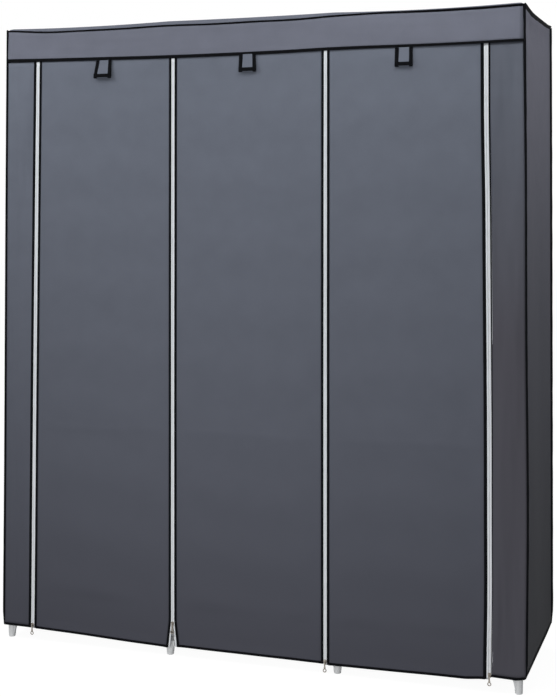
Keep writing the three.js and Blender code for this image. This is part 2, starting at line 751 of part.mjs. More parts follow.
const middleColumns = [-middleColumn, middleColumn];
add('bottom_level_frame', throughLevel(columnsX, bottomLevel), steel());
add('top_level_frame', topFrame(), steel());
add('hanging_rail', hangingRail(), steel());
add('bottom_cloth_shelf', clothShelf(columnsX, bottomLevel), fabric());
for (const [i, share] of shelfLevelShares.entries()) {
  const level = THREE.MathUtils.lerp(bottomLevel, topLevel, share);
  add(`middle_shelf_${i + 1}_frame`, throughLevel(middleColumns, level), steel());
  add(`middle_shelf_${i + 1}_cloth`, clothShelf(middleColumns, level), fabric());
}

add('cover_roof', roof(), fabric());
add('cover_left_side', sidePanel(-1), fabric());
add('cover_right_side', sidePanel(1), fabric());
add('cover_back', backPanel(), fabric());
add('front_left_strip', leftStrip(), fabric());
add('front_right_strip', rightStrip(), fabric());
add('front_valance', valancePanel(), fabric());
add('cover_piping', coverPiping(), blackCloth());

const doorNames = ['left', 'middle', 'right'];
for (const [d, name] of doorNames.entries()) {
  add(`${name}_door_panel`, doorPanel(d), fabric());
  add(`${name}_door_binding`, doorBinding(d), blackCloth());
  add(`${name}_door_hem`, doorHemBar(d), blackCloth());
  const middle = (besideZip(d, 1, 0, valanceHem) + besideZip(d + 1, -1, 0, valanceHem)) / 2;
  const tie = add(`${name}_strap_loop`, strapLoop(), fabric());
  tie.position.set(middle, -valanceOuter - strap.topHalf + binding.thickness / 2, valanceHem - seat);
}

for (const [k, height] of sliderHeights.entries()) {
  for (const [half, side] of [['left', -1], ['right', 1]]) {
    add(`zip_${k + 1}_${half}_tape`, zipTape(k, side), whiteTape());
  }
  const line = new THREE.Group();
  line.position.set(zipX(k, height), -frontPlane, height);
  line.rotation.y = Math.atan2(zipX(k, valanceHem) - zipX(k, height), valanceHem - height);
  wardrobe.add(line);
  add(`zip_${k + 1}_slider`, zipSlider(), zipMetal(), line);
  add(`zip_${k + 1}_pull`, pullTab(), zipMetal(), line).position.y =
    -zip.tape / 2 - seat - slider.plate - slider.pinStandOff;
}

// The straps hang in front of the cover, so the part is moved back until it is centred on its box
const bounds = new THREE.Box3().setFromObject(wardrobe);
wardrobe.position.y = -(bounds.min.y + bounds.max.y) / 2;

export default wardrobe;
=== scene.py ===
import json
from math import cos, dist, exp, pi, radians, sin

import bmesh
import bpy
import numpy as np
from mathutils import Matrix, Vector, noise


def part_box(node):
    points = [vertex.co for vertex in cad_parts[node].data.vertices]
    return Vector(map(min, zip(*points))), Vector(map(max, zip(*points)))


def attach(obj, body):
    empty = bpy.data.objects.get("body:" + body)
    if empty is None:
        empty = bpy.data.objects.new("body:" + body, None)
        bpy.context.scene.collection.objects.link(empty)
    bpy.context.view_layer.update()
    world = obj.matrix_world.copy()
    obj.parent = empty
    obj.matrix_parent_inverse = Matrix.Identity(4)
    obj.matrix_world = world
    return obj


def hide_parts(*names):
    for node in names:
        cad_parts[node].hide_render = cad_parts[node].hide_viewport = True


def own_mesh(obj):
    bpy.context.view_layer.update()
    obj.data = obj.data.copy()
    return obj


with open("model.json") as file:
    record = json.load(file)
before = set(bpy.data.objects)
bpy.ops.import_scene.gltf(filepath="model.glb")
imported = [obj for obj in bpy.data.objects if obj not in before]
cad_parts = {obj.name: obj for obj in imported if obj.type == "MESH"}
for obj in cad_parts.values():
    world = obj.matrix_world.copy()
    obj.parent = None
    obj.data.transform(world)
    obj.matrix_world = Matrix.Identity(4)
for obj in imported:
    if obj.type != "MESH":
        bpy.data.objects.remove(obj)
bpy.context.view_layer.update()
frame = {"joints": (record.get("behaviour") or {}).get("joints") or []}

JOINTS = {joint["name"]: joint for joint in frame["joints"]}
ROOT = "wardrobe"

# Driving dimensions, in metres

CLOTH = 0.0009  # thickness of the cover cloth
PIPE_REACH = 0.0036  # from a corner seam to the edge of the cloth beside it
BINDING_WIDTH = 0.009  # of the valance's edge
ZIP_BAND_WIDTH = 0.0070
BINDING_THICKNESS = 0.0012
HEM_WIDTH = 0.0068
HEM_LAP = 0.0006  # how far a hem's binding reaches below its cloth
HEM_RUN = 0.095  # how much of a door gathers behind its hem's binding when it is rolled up
# How far inside its zips each door's hem ends, so that it clears their tapes where the door is narrower
HEM_INSETS = ((0.0066, 0.0042), (0.0010, 0.0010), (0.0050, 0.0042))
FIN_REACH = 0.0050  # how far the corner binding stands out from its seam
FIN_HALF = 0.0017
TUBE = 0.008
SLEEVE = 0.0105
ARM = 0.0098
ARM_LENGTH = 0.034
SLEEVE_HALF = 0.020
TOP_SLEEVE_DROP = 0.026
TOP_TUBE_DROP = 0.0012  # the roof's sag presses the top front and back tubes down in their arms
FOOT_HEIGHT = 0.038
FOOT_BASE = 0.0096
VALANCE_HEM = 1.649
TAPE_HALF = (0.0051, 0.0046, 0.0044, 0.0056)
TAPE_HIDDEN = 0.0042
COIL_HALF = 0.0021
COIL_DEPTH = 0.0012  # the coil runs on the back of the tapes, this far behind them
ZIP_MOUTH = 0.00025
SPLIT_HALF = 0.008
OPEN_ZIP = 1  # the zip whose slider was left above its bottom stop
NARROW_SIDE = (3, 1)  # the zip and side where little of the binding shows
NARROW_CLOTH = 0.0006
NARROW_BAND = (0.0010, 0.0050)  # its width at the hem and at the top
ZIP_BOWS = (-0.0008, -0.0006, -0.0004, 0.0018)  # how far each zip bends out at its middle
LAST_ZIP_BENDS = (-3.9, -1.0, -0.7, -0.2, -0.4, -0.7, -0.6, -1.7, -0.6)  # in mm, from the hem up
SLIDER_SHIFTS = {3: -0.002}  # how far a slider's front hangs off its zip's line
BAND_SCALES = {(0, -1): 1.20, (3, -1): 1.25}  # bindings wider than the others: zip and side
DOOR_HEMS = ((0.0362, 0.0240), (0.0282, 0.0272), (0.0248, 0.0300))
DOOR_NAMES = ("left", "middle", "right")
COLUMN_NAMES = ("left", "middle_left", "middle_right", "right")
STAND_OFF = 0.0012  # of a binding's middle from its cloth's
LINING_DEPTH = 0.0034  # of the cloth turned up behind a door's hem
SIDES = ((-1, "left"), (1, "right"))
STRIP_ZIPS = {-1: 0, 1: 3}
STRAPS = ((0.0490, 0.0026, -0.0042), (0.0470, 0.0012, 0.0006), (0.0490, 0.0, 0.0))  # drop, flare and lean
STRIP_HEMS = {-1: (0.0375, 0.0370), 1: (0.0386, 0.0412)}  # at the corner and beside the zip
CORNER_STARTS = {-1: 0.001, 1: 0.003}  # from a strip's hem up to the end of its corner's edging
CORNER_HEM = 0.0490  # where a side's hem starts, at the front corner's rounded end
# How far each column stands out of plumb at its foot
FOOT_LEANS = {"front": (-0.0125, 0.0035, 0.0035, 0.0010), "back": (-0.0040, 0.0020, 0.0, -0.0130)}
SIDE_HEM_START = 0.0475  # a side's hem just behind its front corner
SIDE_HEM_RUN = 0.012  # length over which it climbs from the corner to that height
ROOF_SAGS = (0.0034, 0.0014, 0.0044)  # how far the roof's edge sags in each bay

# A corner binding's scale, and how much is added to it at the top
CORNER_SCALES = {(1, "front"): (1.0, 0.32), (1, "back"): (1.45, 0.0)}

# Heights in millimetres, at even steps from the left corner to the right one, or from front to back
FRONT_SEAM_DROPS = (7.8, 16.2, 16.9, 16.8, 15.0, 16.8, 16.2, 16.4, 12.1, 10.7, 12.1, 11.4, 8.2)
VALANCE_LIFTS = (5.0, 2.4, 0.4, -1.7, -3.2, -3.9, -3.9, -2.8, -0.4, -0.3, -1.1, 0.0, 1.2)
SIDE_SEAM_DROPS = (8.2, 12.2, 15.0, 14.8, 13.8, 12.4, 11.0, 9.4, 5.2)
# How far a corner seam hangs out of its straight line, in millimetres, from the hem to the top
SEAM_LEANS = {
    (-1, "front"): (1.5, -0.2, -0.7, -1.3, -2.7),
    (1, "front"): (-2.6, 2.2, 0.6, 1.2, -0.8),
    (1, "back"): (-3.4, -2.2, -1.0, 0.1, 0.8),
    (-1, "back"): (1.5, 0.6, 0.0, -0.4, -0.8),
}

# Places that follow from the frame

SIDE_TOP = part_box("cover_roof")[1].x
SIDE_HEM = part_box("cover_right_side")[1].x - 0.0006
FRONT = (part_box("front_valance")[0].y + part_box("front_valance")[1].y) / 2
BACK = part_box("cover_roof")[1].y
MIDDLE_Y = (FRONT + BACK) / 2
CAD_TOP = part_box("cover_roof")[1].z
ROOF_TOP = CAD_TOP + 0.0002
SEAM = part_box("cover_piping")[1].z - 0.0033
FRONT_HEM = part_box("front_left_strip")[0].z
BACK_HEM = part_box("cover_back")[0].z
DOOR_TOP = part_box("left_door_panel")[1].z


def centre_of(node):
    low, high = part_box(node)
    return (low + high) / 2


COLUMNS_X = [centre_of(f"front_{name}_upright").x for name in COLUMN_NAMES]
COLUMNS_Y = [centre_of(f"{row}_left_upright").y for row in ("front", "back")]
ZIPS = [
    (Vector(JOINTS[f"zip_{k}_pull_swing"]["pos_m"]), Vector(JOINTS[f"zip_{k}_slide"]["axis"]))
    for k in (1, 2, 3, 4)
]
LEVELS = [
    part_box(f"{name}_frame")[0].z + SLEEVE_HALF for name in ("bottom_level", "middle_shelf_1", "middle_shelf_2")
]
TOP_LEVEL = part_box("top_level_frame")[0].z + TOP_SLEEVE_DROP
UP = Vector((0, 0, 1))
FORWARDS = Vector((0, -1, 0))


def lerp(a, b, share):
    return a + (b - a) * share


def clamp(value, low=0.0):
    return min(1.0, max(low, value))


def smooth(share):
    share = clamp(share)
    return share * share * (3 - 2 * share)


def bump(value, centre, half_width):
    """1 at the centre, falling smoothly to 0 at half_width from it."""
    return smooth(1 - abs(value - centre) / half_width)


def rough(x, y, seed):
    """Smooth noise between about -1 and 1, the same each run."""
    return noise.noise(Vector((x, y, seed)))


# Camera, lamps and backdrop

def new_object(name, data):
    made = bpy.data.objects.new(name, data)
    bpy.context.scene.collection.objects.link(made)
    return made


def make_camera():
    data = bpy.data.cameras.new("camera")
    data.sensor_width = 36
    data.lens = 69.79
    data.shift_y = -0.1821
    camera = new_object("camera", data)
    camera.location = (1.2732, -3.6396, 1.1964)
    camera.rotation_euler = (radians(90), 0, radians(19.174))
    bpy.context.scene.camera = camera


def make_lamps():
    for name, place, aim, size, power in (
        ("low_front_lamp", (0.0, -2.2, 0.6), (0, -0.2, 0.5), 1.2, 16.7),
        ("high_left_lamp", (-1.6, -1.3, 2.6), (-0.2, -0.2, 1.2), 1.0, 22.6),
        ("high_right_lamp", (0.6, -0.9, 2.5), (0.4, -0.2, 1.3), 0.7, 5.3),
        ("corner_lamp", (0.75, -0.9, 2.35), (0.55, -0.23, 1.7), 0.5, 1.4),
        ("side_lamp", (1.6, 0.0, 1.9), (0.75, 0, 1.3), 0.6, 4.6),
        ("back_lamp", (-1.6, 2.8, 2.8), (0, 0, 1.2), 1.6, 40),
    ):
        data = bpy.data.lights.new(name, "AREA")
        data.shape = "DISK"
        data.size = size
        data.energy = power
        lamp = new_object(name, data)
        lamp.location = place
        lamp.rotation_euler = (Vector(aim) - Vector(place)).to_track_quat("-Z", "Y").to_euler()


def show(tree, lit, seen, output):
    """Feeds the output from lit, and for the rays of the camera and of mirrors from seen."""
    rays = tree.nodes.new("ShaderNodeLightPath")
    visible = tree.nodes.new("ShaderNodeMath")
    visible.operation = "MAXIMUM"
    mix = tree.nodes.new("ShaderNodeMixShader")
    tree.links.new(rays.outputs["Is Camera Ray"], visible.inputs[0])
    tree.links.new(rays.outputs["Is Glossy Ray"], visible.inputs[1])
    for source, socket in (
        (visible, mix.inputs["Fac"]), (lit, mix.inputs[1]), (seen, mix.inputs[2]), (mix, output.inputs["Surface"]),
    ):
        tree.links.new(source.outputs[0], socket)


def make_world():
    world = bpy.data.worlds.new("studio")
    bpy.context.scene.world = world
    world.use_nodes = True
    tree = world.node_tree
    lit = tree.nodes["Background"]
    lit.inputs["Color"].default_value = (0.96, 0.98, 1.0, 1)
    lit.inputs["Strength"].default_value = 0.30
    seen = tree.nodes.new("ShaderNodeBackground")
    seen.inputs["Color"].default_value = (1, 1, 1, 1)
    show(tree, lit, seen, tree.nodes["World Output"])


def make_floor():
    """White where it is seen, apart from the shadow, and grey to the light that it throws back."""
    bpy.ops.mesh.primitive_plane_add(size=60, location=(0, 0, 0))
    floor = bpy.context.object
    floor.name = "floor"
    material = bpy.data.materials.new("pale_floor")
    material.use_nodes = True
    tree = material.node_tree
    tree.nodes.clear()
    shaders = [tree.nodes.new("ShaderNode" + kind) for kind in ("BsdfDiffuse", "BsdfDiffuse", "Emission")]
    for shader, tone in zip(shaders, (0.30, 0.12, 1)):
        shader.inputs["Color"].default_value = (tone, tone, tone, 1)
    bounced, shadowed, glow = shaders
    glow.inputs["Strength"].default_value = 0.95
    seen = tree.nodes.new("ShaderNodeAddShader")
    tree.links.new(shadowed.outputs[0], seen.inputs[0])
    tree.links.new(glow.outputs[0], seen.inputs[1])
    show(tree, bounced, seen, tree.nodes.new("ShaderNodeOutputMaterial"))
    floor.data.materials.append(material)


# Materials

def tinted(color, tone):
    return tuple(tone * c for c in color)


class Shader:
    """A Principled material whose nodes are added by short calls."""

    def __init__(self, name, slot, color, roughness, metallic=0.0, sheen=0.0, specular=0.5):
        self.material = bpy.data.materials.new(name)
        self.material.use_nodes = True
        self.slot = slot
        self.tree = self.material.node_tree
        self.surface = self.tree.nodes["Principled BSDF"]
        for key, value in (
            ("Base Color", (*color, 1)), ("Roughness", roughness), ("Metallic", metallic), ("Sheen Weight", sheen),
            ("Sheen Roughness", 0.5), ("Specular IOR Level", specular),
        ):
            self.surface.inputs[key].default_value = value

    def feed(self, value, socket):
        if isinstance(value, bpy.types.NodeSocket):
            self.tree.links.new(value, socket)
        else:
            socket.default_value = value

    def node(self, kind, **inputs):
        made = self.tree.nodes.new("ShaderNode" + kind)
        for key, value in inputs.items():
            self.feed(value, made.inputs[key.replace("_", " ")])
        return made

    def math(self, operation, a, b=0.0):
        made = self.node("Math")
        made.operation = operation
        self.feed(a, made.inputs[0])
        self.feed(b, made.inputs[1])
        return made.outputs[0]

    def times(self, a, b):
        return self.math("MULTIPLY", a, b)

    def wave(self, value, period):
        return self.math("SINE", self.times(value, 2 * pi / period))

    def uv(self):
        """Across and along the piece, in millimetres."""
        split = self.node("SeparateXYZ", Vector=self.node("TexCoord").outputs["UV"])
        return [self.times(split.outputs[n], 1000.0) for n in (0, 1)]

    def place(self, scale=(1, 1, 1), source="UV"):
        """Texture coordinates in millimetres, each stretched by its scale."""
        mapping = self.node("Mapping", Vector=self.node("TexCoord").outputs[source])
        mapping.inputs["Scale"].default_value = tinted(scale, 1000)
        return mapping.outputs[0]

    def noise(self, size, detail=2.0, vector=None, roughness=0.5):
        """Noise between 0 and 1 whose blotches are about size millimetres wide."""
        made = self.node("TexNoise", Scale=1.0 / size, Detail=detail, Roughness=roughness)
        self.feed(vector or self.place(source="Object"), made.inputs["Vector"])
        return made.outputs["Fac"]

    def between(self, share, low, high):
        return self.node("MapRange", Value=share, To_Min=low, To_Max=high).outputs[0]

    def above(self, value, low, high):
        """0 below low, 1 above high."""
        return self.node("MapRange", Value=value, From_Min=low, From_Max=high).outputs[0]

    def mix(self, share, a, b):
        made = self.node("Mix")
        made.data_type = "RGBA"
        for value, index in ((share, 0), (a, 6), (b, 7)):
            self.feed((*value, 1) if isinstance(value, tuple) else value, made.inputs[index])
        return made.outputs[2]

    def finish(self, color, roughness, *reliefs):
        """Gives the material and its slot; each relief is a height and its depth in millimetres."""
        self.feed(color, self.surface.inputs["Base Color"])
        self.feed(roughness, self.surface.inputs["Roughness"])
        target = self.surface
        for height, depth in reversed(reliefs):
            made = self.node("Bump", Height=height, Strength=1.0, Distance=depth / 1000)
            self.feed(made.outputs[0], target.inputs["Normal"])
            target = made
        return self.material, self.slot


def fabric(name, color, low=None, painted_shade_span=(0, 1700)):
    """Spun non-woven cloth: pressed dots, loose fibres and a faint mottle; low is its tone down at the floor,
    painted shade that darkens the cloth towards the floor below the top of its span of heights.
    """
    s = Shader(name, "grey_fabric", color, 0.85, specular=0.04)
    across, along = s.uv()
    slants = s.math("ADD", across, along), s.math("SUBTRACT", across, along)
    dots = s.above(s.times(*[s.wave(slant, 3.0) for slant in slants]), 0.35, 0.75)
    fibres = s.noise(0.35, 3.0, s.place((1.0, 0.35, 1.0)), 0.7)
    blotches = s.noise(55, 3.0, s.place())
    specks = s.noise(4, 2.0, s.place())
    light = tinted(color, 1.05)
    cloth = s.mix(s.above(blotches, 0.3, 0.7), tinted(color, 0.96), light)
    cloth = s.mix(s.times(s.above(specks, 0.35, 0.65), 0.35), cloth, light)
    cloth = s.mix(s.times(dots, 0.35), cloth, tinted(color, 0.8))
    # Painted shade: below the top of its span of heights the cloth darkens towards its low tone, standing in for
    # light that falls off towards the floor.
    if low is not None:
        cloth = s.mix(s.above(along, *painted_shade_span), low, cloth)
    return s.finish(cloth, s.between(specks, 0.78, 0.92), (fibres, 0.03), (s.math("SUBTRACT", 1.0, dots), 0.06))


def binding():
    """Black folded edge tape: fine cross ribs and a dashed line of stitches near its inner edge."""
    color = (0.0042, 0.0046, 0.0058)
    s = Shader("black_edging", "black_edging", color, 0.75, specular=0.02)
    across, along = s.uv()
    dash = s.above(s.wave(along, 3.4), -0.45, -0.3)
    line = s.math("SUBTRACT", 1.0, s.above(s.math("ABSOLUTE", s.math("SUBTRACT", across, 1.6)), 0.25, 0.4))
    stitches = s.times(dash, line)
    worn = s.noise(6, 3.0, s.place())
    cloth = s.mix(s.above(worn, 0.35, 0.75), color, (0.0085, 0.009, 0.0105))
    cloth = s.mix(stitches, cloth, (0.017, 0.018, 0.02))
    return s.finish(cloth, s.between(worn, 0.62, 0.8), (s.wave(along, 0.9), 0.05), (stitches, 0.2))


def zip_tape():
    """White tape with a herringbone weave, painted lighter towards the bottom to make up for the weaker light there.
    """
    s = Shader("white_tape", "white_tape", (0.80, 0.82, 0.84), 0.75, sheen=0.05)
    across, along = s.uv()
    weave = s.wave(s.math("ADD", along, s.math("PINGPONG", across, 1.2)), 0.6)
    soil = s.noise(30, 3.0, s.place())
    clean = s.mix(s.above(soil, 0.4, 0.8), (0.80, 0.83, 0.87), (0.77, 0.80, 0.83))
    # Painted light: the tape whitens below 0.9 m, standing in for light that the lamps give less of down low.
    cloth = s.mix(s.above(along, 0, 900), (0.90, 0.92, 0.95), clean)
    return s.finish(cloth, s.between(soil, 0.7, 0.85), (weave, 0.05))


def zip_coil():
    s = Shader("white_coil", "white_tape", (0.72, 0.75, 0.77), 0.4)
    cloudy = s.noise(3, 2.0)
    return s.finish(s.mix(cloudy, (0.70, 0.73, 0.75), (0.78, 0.80, 0.82)), s.between(cloudy, 0.3, 0.45))


def zip_metal():
    """Plated die-cast metal, a little brown where the plating is worn."""
    s = Shader("zip_metal", "zip_metal", (0.5, 0.46, 0.4), 0.3, metallic=1.0)
    wear = s.noise(1.8, 4.0, None, 0.65)
    worn = s.mix(s.above(wear, 0.42, 0.68), (0.31, 0.29, 0.26), (0.14, 0.11, 0.09))
    return s.finish(worn, s.between(wear, 0.22, 0.42), (s.noise(0.25, 2.0), 0.02))


def moulded(name, tone):
    """Grey plastic with a satin skin, scuffed here and there; tone is 1 for the palest, and a lower tone gives a
    darker copy that paints shade.
    """
    s = Shader(name, "grey_plastic", tinted((0.86, 0.87, 0.88), tone), 0.45)
    scuffs = s.above(s.noise(2.5, 4.0, s.place((1, 1, 0.25), "Object"), 0.7), 0.62, 0.72)
    skin = s.mix(s.noise(14, 3.0), tinted((0.84, 0.85, 0.86), tone), tinted((0.89, 0.90, 0.905), tone))
    skin = s.mix(s.times(scuffs, 0.25), skin, tinted((0.68, 0.68, 0.68), tone))
    return s.finish(skin, s.between(scuffs, 0.4, 0.62), (s.noise(0.4, 2.0), 0.02))


def coated_steel():
    s = Shader("steel_tube", "steel_tube", (0.40, 0.41, 0.43), 0.35, metallic=0.85)
    streaks = s.noise(1.2, 3.0)
    clouds = s.mix(s.noise(60, 2.0), (0.36, 0.37, 0.39), (0.46, 0.47, 0.49))
    return s.finish(clouds, s.between(streaks, 0.28, 0.45), (streaks, 0.01))


# Painted shade: the grey of the doors, back, left strip and straps, and the grey of the sides, darken towards the
# floor through their low tones.
GREY = fabric("grey_fabric", (0.158, 0.1755, 0.217), (0.078, 0.0795, 0.098))
LEVEL_GREY = fabric("grey_fabric_level", (0.158, 0.170, 0.210))
VALANCE_GREY = fabric("grey_fabric_valance", (0.166, 0.1755, 0.2185))
# Painted shade: the right strip is a darker copy of the door cloth, darkening further from 1.55 m down to 0.9 m.
STRIP_GREY_PAINTED_SHADE = fabric("grey_fabric_right_strip", (0.130, 0.142, 0.174), (0.090, 0.088, 0.105), painted_shade_span=(900, 1550))
SIDE_GREY = fabric("grey_fabric_sides", (0.147, 0.149, 0.182), (0.0655, 0.067, 0.0715))
BLACK = binding()
TAPE = zip_tape()
COIL = zip_coil()
METAL = zip_metal()
PLASTIC = moulded("grey_plastic", 1.0)
# Painted shade: the connectors get a darker copy of the feet's plastic, for the shade they stand in under the cover.
PLASTIC_PAINTED_SHADE = moulded("grey_plastic_connectors", 0.55)
STEEL = coated_steel()


# Mesh helpers

def shares(count):
    """Even shares from 0 to 1."""
    return [i / count for i in range(count + 1)]


def finish_piece(piece, look, *replaces, body=ROOT):
    material, slot = look
    piece.data.materials.clear()
    piece.data.materials.append(material)
    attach(piece, body)
    if replaces:
        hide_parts(*replaces)
    return piece


def new_piece(name, points, faces, uvs=None, sharp=40, solid=True):
    mesh = bpy.data.meshes.new(name)
    mesh.from_pydata([tuple(p) for p in points], [], faces)
    if uvs is not None:
        layer = mesh.uv_layers.new(name="UVMap")
        corners = np.zeros(len(mesh.loops), dtype=np.int32)
        mesh.loops.foreach_get("vertex_index", corners)
        layer.data.foreach_set("uv", np.array(uvs, dtype=np.float32)[corners].ravel())
    mesh.polygons.foreach_set("use_smooth", [True] * len(mesh.polygons))
    mesh.set_sharp_from_angle(angle=radians(sharp))
    mesh.update()
    if solid:
        turned = bmesh.new()
        turned.from_mesh(mesh)
        bmesh.ops.recalc_face_normals(turned, faces=turned.faces)
        turned.to_mesh(mesh)
        turned.free()
    return new_object(name, mesh)


def grid_faces(columns, rows, closed=False):
    """Quads over a grid of points in rows; closed joins each row's last point to its first."""
    across = columns if closed else columns + 1
    faces = []
    for row in range(rows):
        for column in range(columns):
            low, right = row * across, (column + 1) % across
            faces.append((low + column, low + right, low + across + right, low + across + column))
    return faces


def tube_faces(count, rings, capped=True):
    """Faces round rings of count points each, and over both ends."""
    faces = grid_faces(count, rings - 1, closed=True)
    if capped:
        faces.append(tuple(reversed(range(count))))
        faces.append(tuple(range((rings - 1) * count, rings * count)))
    return faces


def cloth_piece(name, grid, point, plane="xz", thickness=CLOTH):
    """A sheet given by point(u, v) over a grid of (columns, rows), its texture laid on in a plane."""
    columns, rows = grid
    points = [Vector(point(u, v)) for v in shares(rows) for u in shares(columns)]
    uvs = [tuple(getattr(p, plane)) for p in points]
    piece = new_piece(name, points, grid_faces(columns, rows), uvs, 60, solid=False)
    solid = piece.modifiers.new("thickness", "SOLIDIFY")
    solid.thickness = thickness
    solid.offset = 0
    return piece


def sheet(name, grid, point, look, node, plane="xz"):
    """A cloth that stays put."""
    piece = finish_piece(cloth_piece(name, grid, point, plane), look, node)


def sweep(name, path, section, sides, uv_width=None):
    """A solid of a closed section carried along a path. section is a list of (a, b) in metres, and
    sides gives the two directions of a and b at each point of the path."""
    if uv_width is None:
        uv_width = [0.0]
        for before, after in zip(section, section[1:]):
            uv_width.append(uv_width[-1] + dist(before, after))
    points = []
    uvs = []
    along = 0.0
    for i, place in enumerate(path):
        if i:
            along += (Vector(place) - Vector(path[i - 1])).length
        first, second = sides(i)
        for (a, b), width in zip(section, uv_width):
            points.append(Vector(place) + Vector(first) * a + Vector(second) * b)
            uvs.append((width, along))
    return new_piece(name, points, tube_faces(len(section), len(path)), uvs)


def arc(start, turn, count):
    """The cosine and sine at even steps through a turn in degrees."""
    angles = [radians(start + turn * share) for share in shares(count)]
    return [(cos(angle), sin(angle)) for angle in angles]


def tangent(path, i):
    return (Vector(path[min(len(path) - 1, i + 1)]) - Vector(path[max(0, i - 1)])).normalized()


def band_section(width, thickness):
    """A flat band's section with rounded edges, from 0 to width, centred in its thickness."""
    half = thickness / 2
    section = []
    for centre, start in ((width - half, -90), (half, 90)):
        section += [(centre + half * c, half * s) for c, s in arc(start, 180, 3)]
    return section


def band(name, path, across, outward, width, *replaces, thickness=BINDING_THICKNESS, body=ROOT):
    """A flat black binding: path runs along its first edge, across points to its second one."""
    section = band_section(width, thickness)

    def sides(i):
        return [side(i) if callable(side) else side for side in (across, outward)]

    piece = sweep(name, path, section, sides, [a for a, b in section])
    return finish_piece(piece, BLACK, *replaces, body=body)


def lathe(name, profile, place, axis=UP, count=32, sharp=35, closed=False, mapped=False):
    """A solid turned about an axis through place; profile is (radius, height) from foot to top."""
    axis = Vector(axis).normalized()
    first = axis.orthogonal().normalized()
    second = axis.cross(first)
    points = []
    uvs = []
    for radius, height in profile:
        for c, s in arc(0, 360, count)[:-1]:
            points.append(Vector(place) + axis * height + first * radius * c + second * radius * s)
            uvs.append((radius * c, height))
    return new_piece(name, points, tube_faces(count, len(profile), not closed), uvs if mapped else None, sharp)


def rod(name, start, end, radius, *replaces, count=24, grooves=()):
    """A steel tube between two points, with shallow grooves at shares of its length."""
    run = Vector(end) - Vector(start)
    length = run.length
    edge = 0.0008
    profile = [(radius - edge, 0), (radius, edge)]
    for groove in grooves:
        z = groove * length
        profile += [(radius, z - 0.0009), (radius - 0.0006, z), (radius, z + 0.0009)]
    profile += [(radius, length - edge), (radius - edge, length)]
    return finish_piece(lathe(name, profile, start, run, count, 50, mapped=True), STEEL, *replaces)


def slab(name, outline, origin, first, second, third, thickness):
    """A flat plate from an outline of (a, b) points along two directions, thickened along the third."""
    count = len(outline)
    points = []
    for side in (-0.5, 0.5):
        for a, b in outline:
            points.append(Vector(origin) + Vector(first) * a + Vector(second) * b + Vector(third) * side * thickness)
    return new_piece(name, points, tube_faces(count, 2), None, 30)


def join(name, parts):
    """One piece out of several."""
    bpy.ops.object.select_all(action="DESELECT")
    for part in parts:
        part.select_set(True)
    bpy.context.view_layer.objects.active = parts[0]
    bpy.ops.object.join()
    parts[0].name = name
    parts[0].data.name = name
    return parts[0]


def soften(piece, width):
    bevel = piece.modifiers.new("soft_edges", "BEVEL")
    bevel.width = width
    bevel.segments = 2
    bevel.limit_method = "ANGLE"
    bevel.angle_limit = radians(35)
    return piece


# Lines of the cover

def along(values, share):
    """A smooth line through even steps of values in millimetres, in metres."""
    place = clamp(share) * (len(values) - 1)
    i = min(len(values) - 2, int(place))
    before = values[max(0, i - 1)]
    after = values[min(len(values) - 1, i + 2)]
    a, b, t = values[i], values[i + 1], place - i
    rise_a = (b - before) / 2
    rise_b = (after - a) / 2
    curve = 2 * t ** 3 - 3 * t ** 2
    height = (curve + 1) * a + (t ** 3 - 2 * t ** 2 + t) * rise_a - curve * b + (t ** 3 - t ** 2) * rise_b
    return height / 1000


def side_at(z):
    """Half the distance between the side seams at a height."""
    return lerp(SIDE_TOP, SIDE_HEM, (SEAM - z) / (SEAM - FRONT_HEM))


def corner_x(side, row, z):
    """X of a corner seam at a height."""
    return side * (side_at(z) + along(SEAM_LEANS[side, row], (z - FRONT_HEM) / (SEAM - FRONT_HEM)))


def side_x(side, y, z):
    """X of a side cloth's plane, between its front and its back seam."""
    share = (y - FRONT) / (BACK - FRONT)
    return lerp(corner_x(side, "front", z), corner_x(side, "back", z), share)


def front_seam(share):
    """Height of the front top seam, share from -1 at the left corner to 1 at the right."""
    return CAD_TOP - along(FRONT_SEAM_DROPS, (share + 1) / 2)


def back_seam(share):
    return CAD_TOP - along(FRONT_SEAM_DROPS, (1 - share) / 2)


def side_seam(share):
    """Height of a side's top seam, share from -1 at the front to 1 at the back."""
    return CAD_TOP - along(SIDE_SEAM_DROPS, (share + 1) / 2)


def side_hem(back):
    depth = BACK - FRONT
    climb = lerp(SIDE_HEM_START, BACK_HEM, back / depth)
    climb += 0.0030 * (1 - back / 0.22) * smooth((depth - back) / 0.1)
    return climb - (SIDE_HEM_START - CORNER_HEM) * exp(-back / SIDE_HEM_RUN)


def strip_hem(side, share):
    """Height of a front strip's hem, share from its corner to its zip."""
    turned_up = 0.0044 * smooth(1 - share / 0.33) + 0.0030 * smooth(1 - share / 0.06) if side > 0 else 0.0
    return lerp(*STRIP_HEMS[side], share) + turned_up


def valance_hem(x):
    return VALANCE_HEM + along(VALANCE_LIFTS, (x / SIDE_HEM + 1) / 2)


def zip_x(k, z):
    place, axis = ZIPS[k]
    share = clamp((z - 0.09) / (DOOR_TOP - 0.09))
    bend = ZIP_BOWS[k] * sin(pi * share)
    if k == 3:
        bend += along(LAST_ZIP_BENDS, (z - 0.04) / (DOOR_TOP - 0.04))
    return place.x + (z - place.z) * axis.x / axis.z + bend


def zip_split(k, z):
    if k != OPEN_ZIP:
        return 0.0
    height = ZIPS[k][0].z + 0.008
    return SPLIT_HALF * max(0.0, (height - z) / (height - DOOR_HEMS[k][0]))


def beside_zip(k, side, distance, z):
    """The X of a line that runs beside a zip at a distance from its tapes' visible edge."""
    return zip_x(k, z) + side * (zip_split(k, z) + TAPE_HALF[k] + distance)


def door_hem(d, share):
    turned_up = 0.004 * smooth((share - 0.86) / 0.14) if d == 2 else 0.0
    return lerp(*DOOR_HEMS[d], share) + turned_up


